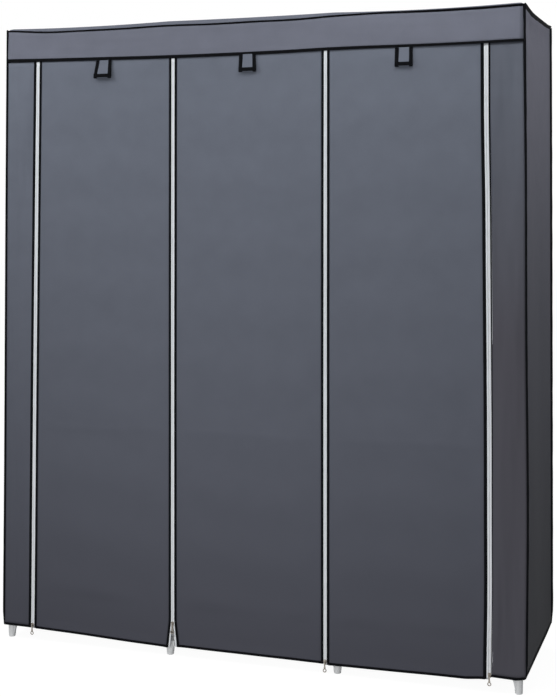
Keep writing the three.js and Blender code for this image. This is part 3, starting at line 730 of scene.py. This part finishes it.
def hem_beside(k, side):
    d = k if side > 0 else k - 1
    if d < 0 or d > 2:
        return strip_hem(side, 1)
    return door_hem(d, 0 if side > 0 else 1)


# Cover cloth

def calm(u, v, margin_u=0.12, margin_v=0.06):
    """0 at a cloth's sewn edges, 1 away from them."""
    return smooth(min(u, 1 - u) / margin_u) * smooth(min(v, 1 - v) / margin_v)


def bay_of(x, columns=COLUMNS_X):
    """The bay that holds an X, and how far across it is."""
    last = len(columns) - 2
    bay = next((i for i in range(last) if x <= columns[i + 1]), last)
    return bay, clamp((x - columns[bay]) / (columns[bay + 1] - columns[bay]))


def roof_height(x, y):
    """The roof lies on the top tubes, hangs between them and turns down to its seams."""
    edge_x = max(0.0, (abs(x) - COLUMNS_X[3]) / (SIDE_TOP - COLUMNS_X[3]))
    reach = BACK - MIDDLE_Y
    column = COLUMNS_Y[1] - MIDDLE_Y
    edge_y = max(0.0, (abs(y - MIDDLE_Y) - column) / (reach - column))
    bay, across = bay_of(x)
    tube_sag = ROOF_SAGS[bay] * 4 * across * (1 - across)
    deep = clamp((y - COLUMNS_Y[0]) / (2 * column))
    hang = sin(pi * across) * sin(pi * deep)
    crest = ROOF_TOP - tube_sag - 0.004 * hang - 0.0012 * hang * (1 + rough(9 * x, 9 * y, 3))
    if edge_x <= 0 and edge_y <= 0:
        return crest
    share = clamp(x / SIDE_TOP, -1.0)
    seam = side_seam((y - MIDDLE_Y) / reach)
    if edge_y > edge_x:
        seam = front_seam(share) if y < MIDDLE_Y else back_seam(share)
    edge = max(edge_x, edge_y)
    return crest - max(0.0, crest - seam - 0.0012) * edge ** 3.4


def crowded(share):
    """A share moved towards the nearer end."""
    return 0.5 - 0.5 * cos(pi * share)


def make_roof():
    def point(u, v):
        y = lerp(FRONT, BACK, lerp(v, crowded(v), 0.8))
        x = lerp(-1, 1, lerp(u, crowded(u), 0.7))
        return side_x(1 if x > 0 else -1, y, SEAM) * abs(x), y, roof_height(x * SIDE_TOP, y)

    sheet("roof_cloth", (120, 60), point, LEVEL_GREY, "cover_roof", "xy")


def make_side(side, name):
    def point(u, v):
        y = lerp(FRONT + PIPE_REACH * 0.4, BACK - PIPE_REACH * 0.4, u)
        top = side_seam((y - MIDDLE_Y) / (BACK - MIDDLE_Y)) - 0.001
        z = lerp(side_hem(y - FRONT), top, v)
        tucked = smooth((top - z) / 0.026) * smooth(1 - (top - z - 0.026) / 0.085) * sin(pi * u) ** 0.6
        inward = 0.0046 * (1 + 0.9 * bump(u, 0.3, 0.3)) * tucked
        inward += 0.0016 * sin(pi * u) * smooth((top - z) / 0.2) * (1 + 0.7 * rough(3 * u, 4 * v, 7 * side))
        inward += 0.0010 * calm(u, v) * sin(2 * pi * (1.3 * u + 0.8 * v) + 1.1 * side)
        inward += 0.0006 * calm(u, v) * rough(14 * y, 7 * z, 2 + side)
        return side_x(side, y, z) - side * inward, y, z

    node = f"cover_{name}_side"
    sheet(f"{name}_side_cloth", (40, 120), point, SIDE_GREY, node, "yz")


def make_back():
    def point(u, v):
        z = lerp(BACK_HEM, back_seam(2 * u - 1) - 0.001, v)
        edge = PIPE_REACH * 0.5
        x = lerp(corner_x(-1, "back", z) + edge, corner_x(1, "back", z) - edge, u)
        out = 0.0032 * calm(u, v) * sin(2 * pi * (3 * u + 0.5 * v))
        out += 0.0016 * calm(u, v) * rough(5 * x, 3 * z, 5)
        return x, BACK + out, z

    sheet("back_cloth", (110, 90), point, GREY, "cover_back")


def strip_edge(side, z):
    return corner_x(side, "front", z) - side * PIPE_REACH * 0.4


def make_strip(side, name, look):
    k = STRIP_ZIPS[side]

    def point(u, v):
        z = lerp(strip_hem(side, u), DOOR_TOP, v)
        inner = beside_zip(k, side, NARROW_CLOTH if (k, side) == NARROW_SIDE else TAPE_HIDDEN, z)
        loose = calm(u, v, 0.3, 0.03)
        out = 0.0026 * loose * sin(pi * (2.4 * v + 0.9 * u))
        out += 0.0016 * loose * rough(12 * u, 7 * z, 11 + side)
        if side < 0:
            along_fold = (DOOR_TOP - z) / 0.27
            if 0 < along_fold < 1.3:
                out -= 0.0034 * loose * bump(u, 0.15 + 0.6 * along_fold, 0.4) * bump(along_fold, 0.5, 0.75)
            out -= 0.0070 * loose * bump(z, 1.46, 0.22)
        return lerp(strip_edge(side, z), inner, u), FRONT + out, z

    node = f"front_{name}_strip"
    sheet(f"{name}_strip_cloth", (14, 120), point, look, node)


def valance_lean(x):
    """How much further forward the valance's edge hangs towards its right end."""
    return 0.0025 * smooth((x - 0.32) / 0.36) * smooth((SIDE_TOP + 0.001 - x) / 0.02)


def make_valance():
    def point(u, v):
        share = 2 * u - 1
        z = lerp(valance_hem(share * SIDE_TOP) + 0.003, front_seam(share) - 0.0005, v)
        x = lerp(strip_edge(-1, z), strip_edge(1, z), u)
        out = 0.0012 * calm(u, v, 0.03, 0.3) * (sin(9.3 * x + 2 * v) + rough(7 * x, 5 * v, 4))
        return x, FRONT + out - (0.0022 + valance_lean(x)) * smooth(1 - v), z

    sheet("valance_cloth", (130, 10), point, VALANCE_GREY, "front_valance")


# Black edging that stays put

def fin_section():
    """Section of the folded binding that stands out from a corner seam: (outward, sideways)."""
    tip = FIN_REACH - FIN_HALF
    seam = [(0.0, FIN_HALF), (-0.0042, FIN_HALF * 1.15)]
    tip_arc = [(tip + FIN_HALF * c, FIN_HALF * s) for c, s in arc(-80, 160, 4)]
    return [(a, -b) for a, b in reversed(seam)] + tip_arc + seam


def fin(name, path, outward, seed, scale, *replaces):
    section = fin_section()

    def sides(i):
        run = tangent(path, i)
        out = Vector(outward).normalized()
        out = (out - run * out.dot(run)).normalized()
        side = run.cross(out)
        lean = 0.16 * rough(0.35 * i, 0, seed)
        return (out + side * lean).normalized() * scale(i), side * scale(i)

    finish_piece(sweep(name, path, section, sides, [a + 0.004 for a, b in section]), BLACK, *replaces)


def make_fins():
    for row, y, out, seam, nodes in (
        ("front", FRONT, -1, front_seam, ["cover_piping"]),
        ("back", BACK, 1, back_seam, []),
    ):
        ends = corner_x(-1, row, SEAM), corner_x(1, row, SEAM)
        path = [(lerp(*ends, s), y, seam(2 * s - 1) + 0.0004 * rough(6 * (2 * s - 1), 1, out)) for s in shares(60)]
        fin(f"{row}_top_edging", path, (0, out, 1), 1 + out, lambda i: 0.82 + 0.20 * smooth(i / 12 - 3.5), *nodes)
    for side, name in SIDES:
        path = []
        for s in shares(36):
            y = lerp(FRONT, BACK, s)
            path.append((side_x(side, y, SEAM), y, side_seam(2 * s - 1)))
        fin(f"{name}_top_edging", path, (side, 0, 1), 5 + side, lambda i: 1.4)
        for row, y, out in (("front", FRONT, -1), ("back", BACK, 1)):
            hem = strip_hem(side, 0) + CORNER_STARTS[side] if out < 0 else side_hem(BACK - FRONT)
            heights = [lerp(hem, SEAM + 0.001, s) for s in shares(100)]
            full, wider = CORNER_SCALES.get((side, row), (1.0, 0.0))
            fin(
                f"{row}_{name}_corner_edging", [(corner_x(side, row, z), y, z) for z in heights], (side, out, 0),
                9 + side + 3 * out,
                lambda i: full * (0.35 + 0.65 * smooth((i + 0.5) / 3)) + wider * smooth(i / 30 - 2.3),
            )


def make_hem_bands():
    """Bindings along the hems of the strips, the sides and the back, and along the valance's edge."""
    for side, name in SIDES:
        ends = corner_x(side, "front", FRONT_HEM), beside_zip(STRIP_ZIPS[side], side, 0.0, FRONT_HEM)
        steps = [s ** 1.6 for s in shares(20)]
        path = [(lerp(*ends, s), FRONT - STAND_OFF, strip_hem(side, s) - HEM_LAP) for s in steps]
        band(f"{name}_strip_hem", path, UP, FORWARDS, HEM_WIDTH)
        path = []
        for s in shares(40):
            y = lerp(FRONT, BACK, s ** 1.7)
            z = side_hem(y - FRONT)
            path.append((side_x(side, y, z) + side * 0.0011, y, z - HEM_LAP))
        band(f"{name}_side_hem", path, UP, (side, 0, 0), HEM_WIDTH)
    ends = corner_x(-1, "back", BACK_HEM), corner_x(1, "back", BACK_HEM)
    path = [(lerp(*ends, s), BACK + 0.0011, BACK_HEM - HEM_LAP) for s in shares(40)]
    band("back_hem", path, UP, (0, 1, 0), HEM_WIDTH)
    ends = corner_x(-1, "front", VALANCE_HEM) - 0.0005, corner_x(1, "front", VALANCE_HEM) + 0.0005
    path = []
    for s in shares(120):
        x = lerp(*ends, s)
        out = 0.0030 + valance_lean(x) + 0.0004 * rough(6 * x, 2, 2)
        path.append((x, FRONT - out, valance_hem(x) + 0.0003 * rough(9 * x, 5, 1)))
    band("valance_edging", path, lambda i: (0, 0, 1 - 0.26 * smooth(i / 50 - 1.2)), FORWARDS, BINDING_WIDTH)


def zip_band(name, k, side, *replaces):
    """The binding beside a zip, from its tape outwards."""
    bottom = hem_beside(k, side)
    top = valance_hem(zip_x(k, VALANCE_HEM)) + 0.004
    path = []
    for s in shares(110):
        z = lerp(bottom, top, s ** 1.25)
        x = beside_zip(k, side, 0, z) + 0.0003 * rough(2.2 * z, k, 6 * side)
        path.append((x, FRONT - 0.0010 + 0.0001 * rough(5 * z, k, side), z))

    def across(i):
        share = (path[i][2] - bottom) / (top - bottom)
        narrow = (k, side) == NARROW_SIDE
        scale = lerp(*NARROW_BAND, share) / ZIP_BAND_WIDTH if narrow else BAND_SCALES.get((k, side), 1)
        return side * scale, 0, 0

    return band(name, path, across, FORWARDS, ZIP_BAND_WIDTH, *replaces)


# Doors

def lift_with(piece, d, k=None):
    """Gives the piece a mesh of its own; anchor_x, its door's middle or its zip's line, is worked out but not used.
    """
    name = DOOR_NAMES[d]
    anchor_x = centre_of(f"{name}_door_panel").x if k is None else zip_x(k, DOOR_TOP)
    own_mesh(piece)


def door_out(d, u, v, x, z):
    """How far a door's cloth stands off its plane, forwards being negative."""
    loose = calm(u, v, 0.15, 0.02)
    out = 0.0013 * sin(2 * pi * (1.5 * u + 0.6 * v) + 1.7 * d)
    out += 0.0012 * rough(3.1 * x, 1.3 * z, 20 + d)
    out += 0.0011 * sin(2 * pi * z / 0.17 + 2.3 * rough(2.2 * x, 0.6 * z, 31 + d))
    out += 0.0006 * rough(11 * x, 6 * z, 40 + d)
    crease = -0.0009 * bump(z, 0.62 + 0.02 * rough(3 * x, 1, d), 0.018)
    sewn = smooth((z - door_hem(d, u) - HEM_RUN) / 0.04)
    return loose * lerp(0.35 * out + 0.0013, out + crease, sewn)


def across_door(d, share, z, left_inset=TAPE_HIDDEN, right_inset=TAPE_HIDDEN):
    return lerp(beside_zip(d, 1, left_inset, z), beside_zip(d + 1, -1, right_inset, z), share)


def make_door(d):
    name = DOOR_NAMES[d]
    insets = HEM_INSETS[d]

    def point(u, v):
        z = lerp(door_hem(d, u), DOOR_TOP, v)
        x = across_door(d, u, z)
        return x, FRONT + door_out(d, u, v, x, z), z

    panel = finish_piece(cloth_piece(f"{name}_door_cloth", (44, 200), point), GREY, f"{name}_door_panel")
    lift_with(panel, d)
    parts = []
    for k, side, label in ((d, 1, "left"), (d + 1, -1, "right")):
        parts.append(zip_band(f"{name}_door_{label}_edging", k, side, f"{name}_door_binding"))
        lift_with(parts[-1], d, k)
    path = []
    for share in shares(60):
        z = door_hem(d, share)
        x = across_door(d, share, z, *insets)
        lap = 0.0016 * smooth(1 - min(share, 1 - share) / 0.03)
        drop = 0.0008 * rough(7 * x, 3, d) * calm(share, 0.5)
        path.append((x, FRONT - STAND_OFF - lap + 0.0004 * rough(6 * x, 2, d), z - HEM_LAP + drop))
    body = f"{name}_door"
    parts.append(band(f"{name}_door_hem_edging", path, UP, FORWARDS, HEM_WIDTH, f"{name}_door_hem", body=body))

    def lining_point(u, v):
        """The cloth turned up behind a slanting hem, up to the height of its higher end."""
        low = door_hem(d, u) + 0.0006
        z = lerp(low, max(low + 0.0030, max(DOOR_HEMS[d]) + 0.0014), v)
        return across_door(d, u, z, insets[0] + 0.003, insets[1] + 0.0004), FRONT + LINING_DEPTH, z

    if name != "middle":
        lining = cloth_piece(f"{name}_door_hem_lining", (44, 4), lining_point)
        parts.append(finish_piece(lining, GREY, body=body))


# Zips

def make_tape(k, side, label):
    bottom = hem_beside(k, side)

    def point(u, v):
        z = lerp(bottom, DOOR_TOP, v ** 1.2)
        edge = zip_x(k, z) + side * (zip_split(k, z) + ZIP_MOUTH)
        x = lerp(edge, beside_zip(k, side, TAPE_HIDDEN, z), u)
        return x, FRONT - 0.0013 * smooth((0.62 - u) / 0.25), z

    name = f"zip_{k + 1}_{label}_tape"
    piece = finish_piece(cloth_piece(f"{name}_cloth", (4, 100), point, thickness=0.0008), TAPE, name)
    coil = make_coil(k, side, label, bottom + 0.004, DOOR_TOP - 0.002)
    d = k if side > 0 else k - 1
    if 0 <= d <= 2:
        lift_with(piece, d, k)
        lift_with(coil, d, k)


def make_coil(k, side, label, bottom, top):
    """One side's coil: a tooth every 2.4 mm, each a rounded block, set half a pitch off the other side."""
    pitch = 0.0024
    half = pitch * 0.27
    depth = 0.0013
    points = []
    faces = []
    for i in range(int((top - bottom) / pitch)):
        z = bottom + (0 if side > 0 else pitch / 2) + i * pitch
        root = zip_x(k, z) + side * (zip_split(k, z) + COIL_HALF)
        locked = k != OPEN_ZIP or z >= ZIPS[k][0].z
        tip = root - side * (COIL_HALF + (0.0004 if locked else 0))
        start = len(points)
        for x, reach in ((root, 0.7), (lerp(root, tip, 0.6), 1.0), (tip, 0.75)):
            for y, dz in ((-1, -1), (-1, 1), (1, 1), (1, -1)):
                points.append((x, FRONT + COIL_DEPTH + y * depth / 2 * reach, z + dz * half * reach))
        faces += [tuple(start + n for n in face) for face in tube_faces(4, 3)]
    piece = new_piece(f"zip_{k + 1}_{label}_coil", points, faces, [(p[0], p[2]) for p in points], sharp=30)
    return finish_piece(piece, COIL)


def shield(width, tail, height):
    """Outline of a slider's plate: broad shoulders at the top, drawn in to a round tail."""
    outline = [(tail / 2 * c, -height / 2 + tail * 0.18 * (1 + s)) for c, s in arc(180, 180, 6)]
    shoulder = [(width / 2, height * 0.08), (width / 2, height * 0.36), (width * 0.3, height / 2)]
    return outline + shoulder + [(-x, z) for x, z in reversed(shoulder)]


def make_slider(k, right, up):
    core = Vector((ZIPS[k][0].x, FRONT, ZIPS[k][0].z))
    centre = core + Vector((SLIDER_SHIFTS.get(k, 0.0), 0, 0))
    out = FORWARDS
    # The tapes and the coils run between the plates
    parts = [
        slab("front_plate", shield(0.0086, 0.0064, 0.013), centre + out * 0.00215, right, up, out, 0.0008),
        slab("back_plate", shield(0.0084, 0.0062, 0.013), core - out * 0.0026, right, up, out, 0.0013),
    ]
    for side in (-1, 1):
        outline = [(-0.0055, -0.0004), (0.0042, -0.0004), (0.0042, 0.0004), (-0.0055, 0.0004)]
        parts.append(slab("flange", outline, core - out * 0.0017 + right * side * 0.0035, up, right, out, 0.0009))
    outline = [(-0.0002, 0), (0.0002, 0), (0.0002, 0.0018), (-0.0002, 0.0018)]
    parts.append(slab("post", outline, core - out * 0.0002, right, up, out, 0.0046))
    bridge = [centre + out * (0.0022 + 0.0036 * s) + up * 0.0046 * c for c, s in arc(0, 180, 12)]
    section = [(a - 0.0011, b) for a, b in band_section(0.0022, 0.0009)]
    parts.append(sweep("bridge", bridge, section, lambda i: (right, tangent(bridge, i).cross(right))))
    name = f"zip_{k + 1}_slider"
    finish_piece(soften(join(f"{name}_body_cast", parts), 0.00022), METAL, name, body=f"{name}_body")


def make_pull(k, right, up):
    """Pull tab: an eye on the slider's bridge, a waisted neck with a raised rim, and a ring."""
    out = FORWARDS
    pin = ZIPS[k][0] + Vector((SLIDER_SHIFTS.get(k, 0.0), 0, 0))
    length = 0.0272
    ring_radius = 0.0053
    reach = length - 2 * ring_radius
    neck = neck_outline(-0.0017, 0.0004 - reach, 0.0024, 0.0019, 0.0030)
    rim = neck_outline(-0.0045, 0.003 - reach, 0.0010, 0.0008, 0.0014)
    ring = pin - up * (length - ring_radius - 0.0004)
    parts = [
        lathe("ring", ring_profile(ring_radius, 0.0013), ring, out, 28, closed=True),
        lathe("eye", ring_profile(0.0024, 0.0007), pin, right, 20, closed=True),
        slab("neck", neck, pin, right, up, out, 0.0013),
        slab("neck_rim", rim, pin + out * 0.0007, right, up, out, 0.0004),
    ]
    name = f"zip_{k + 1}_pull"
    finish_piece(soften(join(f"{name}_tab", parts), 0.00018), METAL, name, body=f"{name}_body")


def ring_profile(radius, wire):
    """Closed round section of a ring, as (radius, height)."""
    return [(radius - wire + wire * c, wire * s) for c, s in arc(0, 360, 10)]


def neck_outline(top, bottom, top_half, waist_half, bottom_half):
    edge = []
    for share in shares(8):
        half = lerp(top_half, bottom_half, share)
        edge.append((lerp(half, waist_half, sin(pi * share)), lerp(top, bottom, share)))
    return edge + [(-x, z) for x, z in reversed(edge)]


def make_zips():
    for k in range(4):
        for side, label in SIDES:
            make_tape(k, side, label)
        up = ZIPS[k][1].normalized()
        right = FORWARDS.cross(up)
        make_slider(k, right, up)
        make_pull(k, right, up)


# Tie straps

def make_strap(d):
    """A doubled band that hangs in a loop from the valance's edge, bound in black on its sides and end."""
    name = DOOR_NAMES[d]
    body = f"{name}_strap"
    hinge = Vector(JOINTS[f"{name}_strap_swing"]["pos_m"])
    width = 0.046
    drop, flare, lean = STRAPS[d]
    fold = 0.0026

    def line(share):
        """Down the front layer, round the fold and up the back layer: (outward, height, how low)."""
        front, back = 0.44, 0.56
        if share < front:
            low = share / front
            return 0.0008 + 0.0040 * smooth(low) - 0.0006 * sin(pi * low), -low * (drop - fold), low
        if share > back:
            low = (1 - share) / (1 - back)
            return 0.0004 - 0.0004 * low, -low * (drop - fold), low
        angle = pi * (share - front) / (back - front)
        return 0.0022 + 0.0024 * cos(angle), -(drop - fold) - fold * sin(angle), 1.0

    def point(u, v):
        out, z, low = line(v)
        x = (u - 0.5) * (width + 2 * flare * low) + lean * low
        curl = 0.0007 * sin(pi * u) * low
        return hinge.x + x, hinge.y - out - curl + 0.0006, hinge.z + z

    layer = cloth_piece(f"{name}_strap_cloth", (14, 52), point, thickness=0.0010)
    finish_piece(layer, GREY, f"{name}_strap_loop", body=body)
    for u, label, inward, breadth in ((0, "left", 1, 0.0112), (1, "right", -1, 0.0095)):
        path = [Vector(point(u, v)) - Vector((inward * 0.0006, 0, 0)) for v in shares(52)]
        band(
            f"{name}_strap_{label}_edging", path, (inward, 0, 0),
            lambda i: tangent(path, i).cross(Vector((1, 0, 0))), breadth, thickness=0.0024, body=body,
        )
    path = [Vector(point(u, 0.42)) - Vector((0, 0.0007, 0.0036)) for u in shares(12)]
    band(f"{name}_strap_end_edging", path, UP, FORWARDS, 0.0100, thickness=0.0014, body=body)


# Frame inside

def make_foot(row, column, x, y):
    name = f"{row}_{column}"
    profile = [
        (0.0, 0.0), (FOOT_BASE - 0.0012, 0.0), (FOOT_BASE, 0.0012), (FOOT_BASE + 0.0002, 0.010),
        (SLEEVE - 0.0001, FOOT_HEIGHT - 0.0012), (SLEEVE - 0.0007, FOOT_HEIGHT), (TUBE + 0.0004, FOOT_HEIGHT),
        (TUBE + 0.0002, FOOT_HEIGHT - 0.001), (TUBE + 0.0002, 0.0062), (0.0, 0.0062),
    ]
    parts = [lathe("cup", profile, (x, y, 0), count=40)]
    middle = "middle" in column
    for side in (-1, 1):
        # An outer foot has one curved rib, towards the middle
        if not middle and column == ("left" if side < 0 else "right"):
            continue
        lines = (0.0096, 0.007), (SLEEVE, 0.0253), (0.0138 if middle else 0.0175, FOOT_HEIGHT)
        outline = [(side * 0.0088, 0.007)]
        for s in shares(8):
            out, z = (lerp(lerp(a, b, s), lerp(b, c, s), s) for a, b, c in zip(*lines))
            outline.append((side * out, z))
        outline.append((side * 0.0088, FOOT_HEIGHT))
        parts.append(slab("rib", outline, (x, y, 0), (1, 0, 0), UP, (0, 1, 0), 0.009))
    for c, s in arc(45, 270, 3):
        out = Vector((c, s, 0))
        outline = [(0.0092, 0.004), (0.0101, 0.006), (0.0108, 0.034), (0.0092, 0.036)]
        parts.append(slab("fin", outline, (x, y, 0), out, UP, out.cross(UP), 0.0014))
    finish_piece(soften(join(f"{name}_foot_cup", parts), 0.0005), PLASTIC, f"{name}_foot")


def make_upright(row, column, x, y, lean):
    """A column of three tube lengths that are pushed into each other."""
    name = f"{row}_{column}"
    low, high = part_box(f"{name}_upright")
    grooves = [(z - low.z) / (high.z - low.z) for z in LEVELS[1:]]
    rod(f"{name}_tube", (x + lean, y, low.z), (x, y, high.z), TUBE, f"{name}_upright", grooves=grooves)


def connector(name, x, y, level, bottom, top, arms, capped):
    """A plastic connector: a ribbed sleeve round the column and an arm for each tube."""
    bore = TUBE + 0.0003
    profile = [
        (bore, bottom), (SLEEVE - 0.0006, bottom), (SLEEVE, bottom + 0.0006), (SLEEVE, bottom + 0.004),
        (SLEEVE - 0.0007, bottom + 0.0046), (SLEEVE - 0.0007, top - 0.0046), (SLEEVE, top - 0.004),
        (SLEEVE, top - 0.0012), (SLEEVE - 0.0012, top), (bore, top), (bore, bottom),
    ]
    parts = [lathe("sleeve", profile, (x, y, 0), closed=True)]
    profile = [
        (TUBE - 0.001, 0.006), (ARM - 0.0005, 0.006), (ARM, 0.0075), (ARM, ARM_LENGTH - 0.005),
        (ARM + 0.0005, ARM_LENGTH - 0.0045), (ARM + 0.0005, ARM_LENGTH - 0.0008), (ARM, ARM_LENGTH),
        (bore, ARM_LENGTH), (TUBE - 0.001, ARM_LENGTH - 0.002), (TUBE - 0.001, 0.006),
    ]
    parts += [lathe("arm", profile, (x, y, level), direction, 28, closed=True) for direction in arms]
    if capped:
        low, high = top - 0.002, top - 0.0002
        parts.append(lathe("cap", [(0.0, low), (TUBE + 0.0008, low), (TUBE + 0.0008, high), (0.0, high)], (x, y, 0)))
    finish_piece(join(name, parts), PLASTIC_PAINTED_SHADE)


def make_level(name, node, columns, level, below=SLEEVE_HALF, above=SLEEVE_HALF, capped=False):
    """Tubes and connectors of one level; columns holds the X of each column at the front and at the back."""
    last = len(columns["front"]) - 1
    gap = 0.010
    tube_z = level - (TOP_TUBE_DROP if capped else 0)
    for row, y, inward in (("front", COLUMNS_Y[0], 1), ("back", COLUMNS_Y[1], -1)):
        for i, x in enumerate(columns[row]):
            arms = [(0, inward, 0)] + [(-1, 0, 0)] * (i > 0) + [(1, 0, 0)] * (i < last)
            connector(f"{name}_{row}_connector_{i + 1}", x, y, level, level - below, level + above, arms, capped)
            if i < last:
                start, end = (x + gap, y, tube_z), (columns[row][i + 1] - gap, y, tube_z)
                rod(f"{name}_{row}_tube_{i + 1}", start, end, TUBE - 0.0003)
    for i, (front_x, back_x) in enumerate(zip(columns["front"], columns["back"])):
        start, end = (front_x, COLUMNS_Y[0] + gap, level), (back_x, COLUMNS_Y[1] - gap, level)
        rod(f"{name}_cross_tube_{i + 1}", start, end, TUBE - 0.0003)
    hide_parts(node)


def make_rail():
    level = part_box("hanging_rail")[0].z + ARM
    for i in range(3):
        start, end = (COLUMNS_X[i] + 0.002, MIDDLE_Y, level), (COLUMNS_X[i + 1] - 0.002, MIDDLE_Y, level)
        rod(f"rail_tube_{i + 1}", start, end, TUBE, *(["hanging_rail"] if i == 0 else []), count=28)
    half = 0.0100
    bottom = level - ARM - TOP_LEVEL
    outline = [(-half, bottom), (half, bottom), (half, 0.0032), (half - 0.0020, 0.0048)]
    outline += [((TUBE + 0.0004) * c, -(TUBE + 0.0004) * s) for c, s in arc(0, 180, 8)]
    outline += [(-half + 0.0020, 0.0048), (-half, 0.0032)]
    for i, x in enumerate(COLUMNS_X):
        place = (x, MIDDLE_Y, TOP_LEVEL)
        hook = slab(f"rail_hook_{i + 1}", outline, place, (1, 0, 0), UP, (0, 1, 0), 0.022)
        finish_piece(soften(hook, 0.0008), PLASTIC)


# Shelf cloths

def make_shelf(name, node, columns, level):
    """Cloth laid over a level's tubes, turned down over the front and back tubes in each bay."""
    top = level + ARM + 0.0006
    reach = ARM + 0.0012
    ends = columns[0] + 0.001, columns[-1] - 0.001
    skirt = 0.028
    turn = 0.010
    front, back = COLUMNS_Y
    flat_depth = back - front + 2 * (reach + skirt)

    def profile(share):
        """Along the cloth from the front skirt's edge to the back one's: (y, z)."""
        length = share * flat_depth
        drop = skirt - turn
        bend = reach + turn
        for start, sign, y in ((length, 1, front), (flat_depth - length, -1, back)):
            if start < drop:
                return y - sign * reach, top - turn - (drop - start)
            if start < drop + bend:
                angle = (start - drop) / bend * pi / 2
                return y - sign * reach * cos(angle), top - turn + turn * sin(angle)
        return front + (length - drop - bend) / (flat_depth - 2 * drop - 2 * bend) * (back - front), top

    def point(u, v):
        x = lerp(*ends, u)
        y, z = profile(v)
        across = bay_of(x, columns)[1]
        sag = sin(pi * across) * sin(pi * clamp((y - front) / (back - front)))
        narrow = smooth(min(across, 1 - across) / 0.07)
        if y < front or y > back:
            y = lerp(front if y < MIDDLE_Y else back, y, max(narrow, 0.02))
            z = lerp(top, z, narrow)
        return x, y, z - 0.007 * sag + 0.0006 * sag * rough(9 * x, 9 * y, level)

    grid = (36 * (len(columns) - 1), 60)
    sheet(f"{name}_cloth", grid, point, LEVEL_GREY, node, "xy")


make_camera()
make_lamps()
make_world()
make_floor()
bpy.context.scene.view_settings.view_transform = "Standard"

make_roof()
for side, name in SIDES:
    make_side(side, name)
make_back()
make_strip(-1, "left", GREY)
make_strip(1, "right", STRIP_GREY_PAINTED_SHADE)
make_valance()
make_fins()
make_hem_bands()
zip_band("left_strip_zip_edging", 0, -1)
zip_band("right_strip_zip_edging", 3, 1)
for d in range(3):
    make_door(d)
make_zips()
for d in range(3):
    make_strap(d)

for i, column in enumerate(COLUMN_NAMES):
    for row, y in zip(("front", "back"), COLUMNS_Y):
        lean = FOOT_LEANS[row][i]
        make_foot(row, column, COLUMNS_X[i] + lean, y)
        make_upright(row, column, COLUMNS_X[i], y, lean)


def columns_at(share, picked=range(4)):
    """The X of the picked columns, at a share of their lean at the foot."""
    return {row: [COLUMNS_X[i] + share * leans[i] for i in picked] for row, leans in FOOT_LEANS.items()}


make_level("bottom", "bottom_level_frame", columns_at(0.965), LEVELS[0])
for n in (1, 2):
    make_level(f"shelf_{n}", f"middle_shelf_{n}_frame", columns_at(1 - LEVELS[n] / TOP_LEVEL, (1, 2)), LEVELS[n])
make_level("top", "top_level_frame", columns_at(0), TOP_LEVEL, TOP_SLEEVE_DROP, TUBE, capped=True)
make_rail()
make_shelf("bottom_shelf", "bottom_cloth_shelf", COLUMNS_X, LEVELS[0])
for n in (1, 2):
    make_shelf(f"shelf_{n}", f"middle_shelf_{n}_cloth", COLUMNS_X[1:3], LEVELS[n])
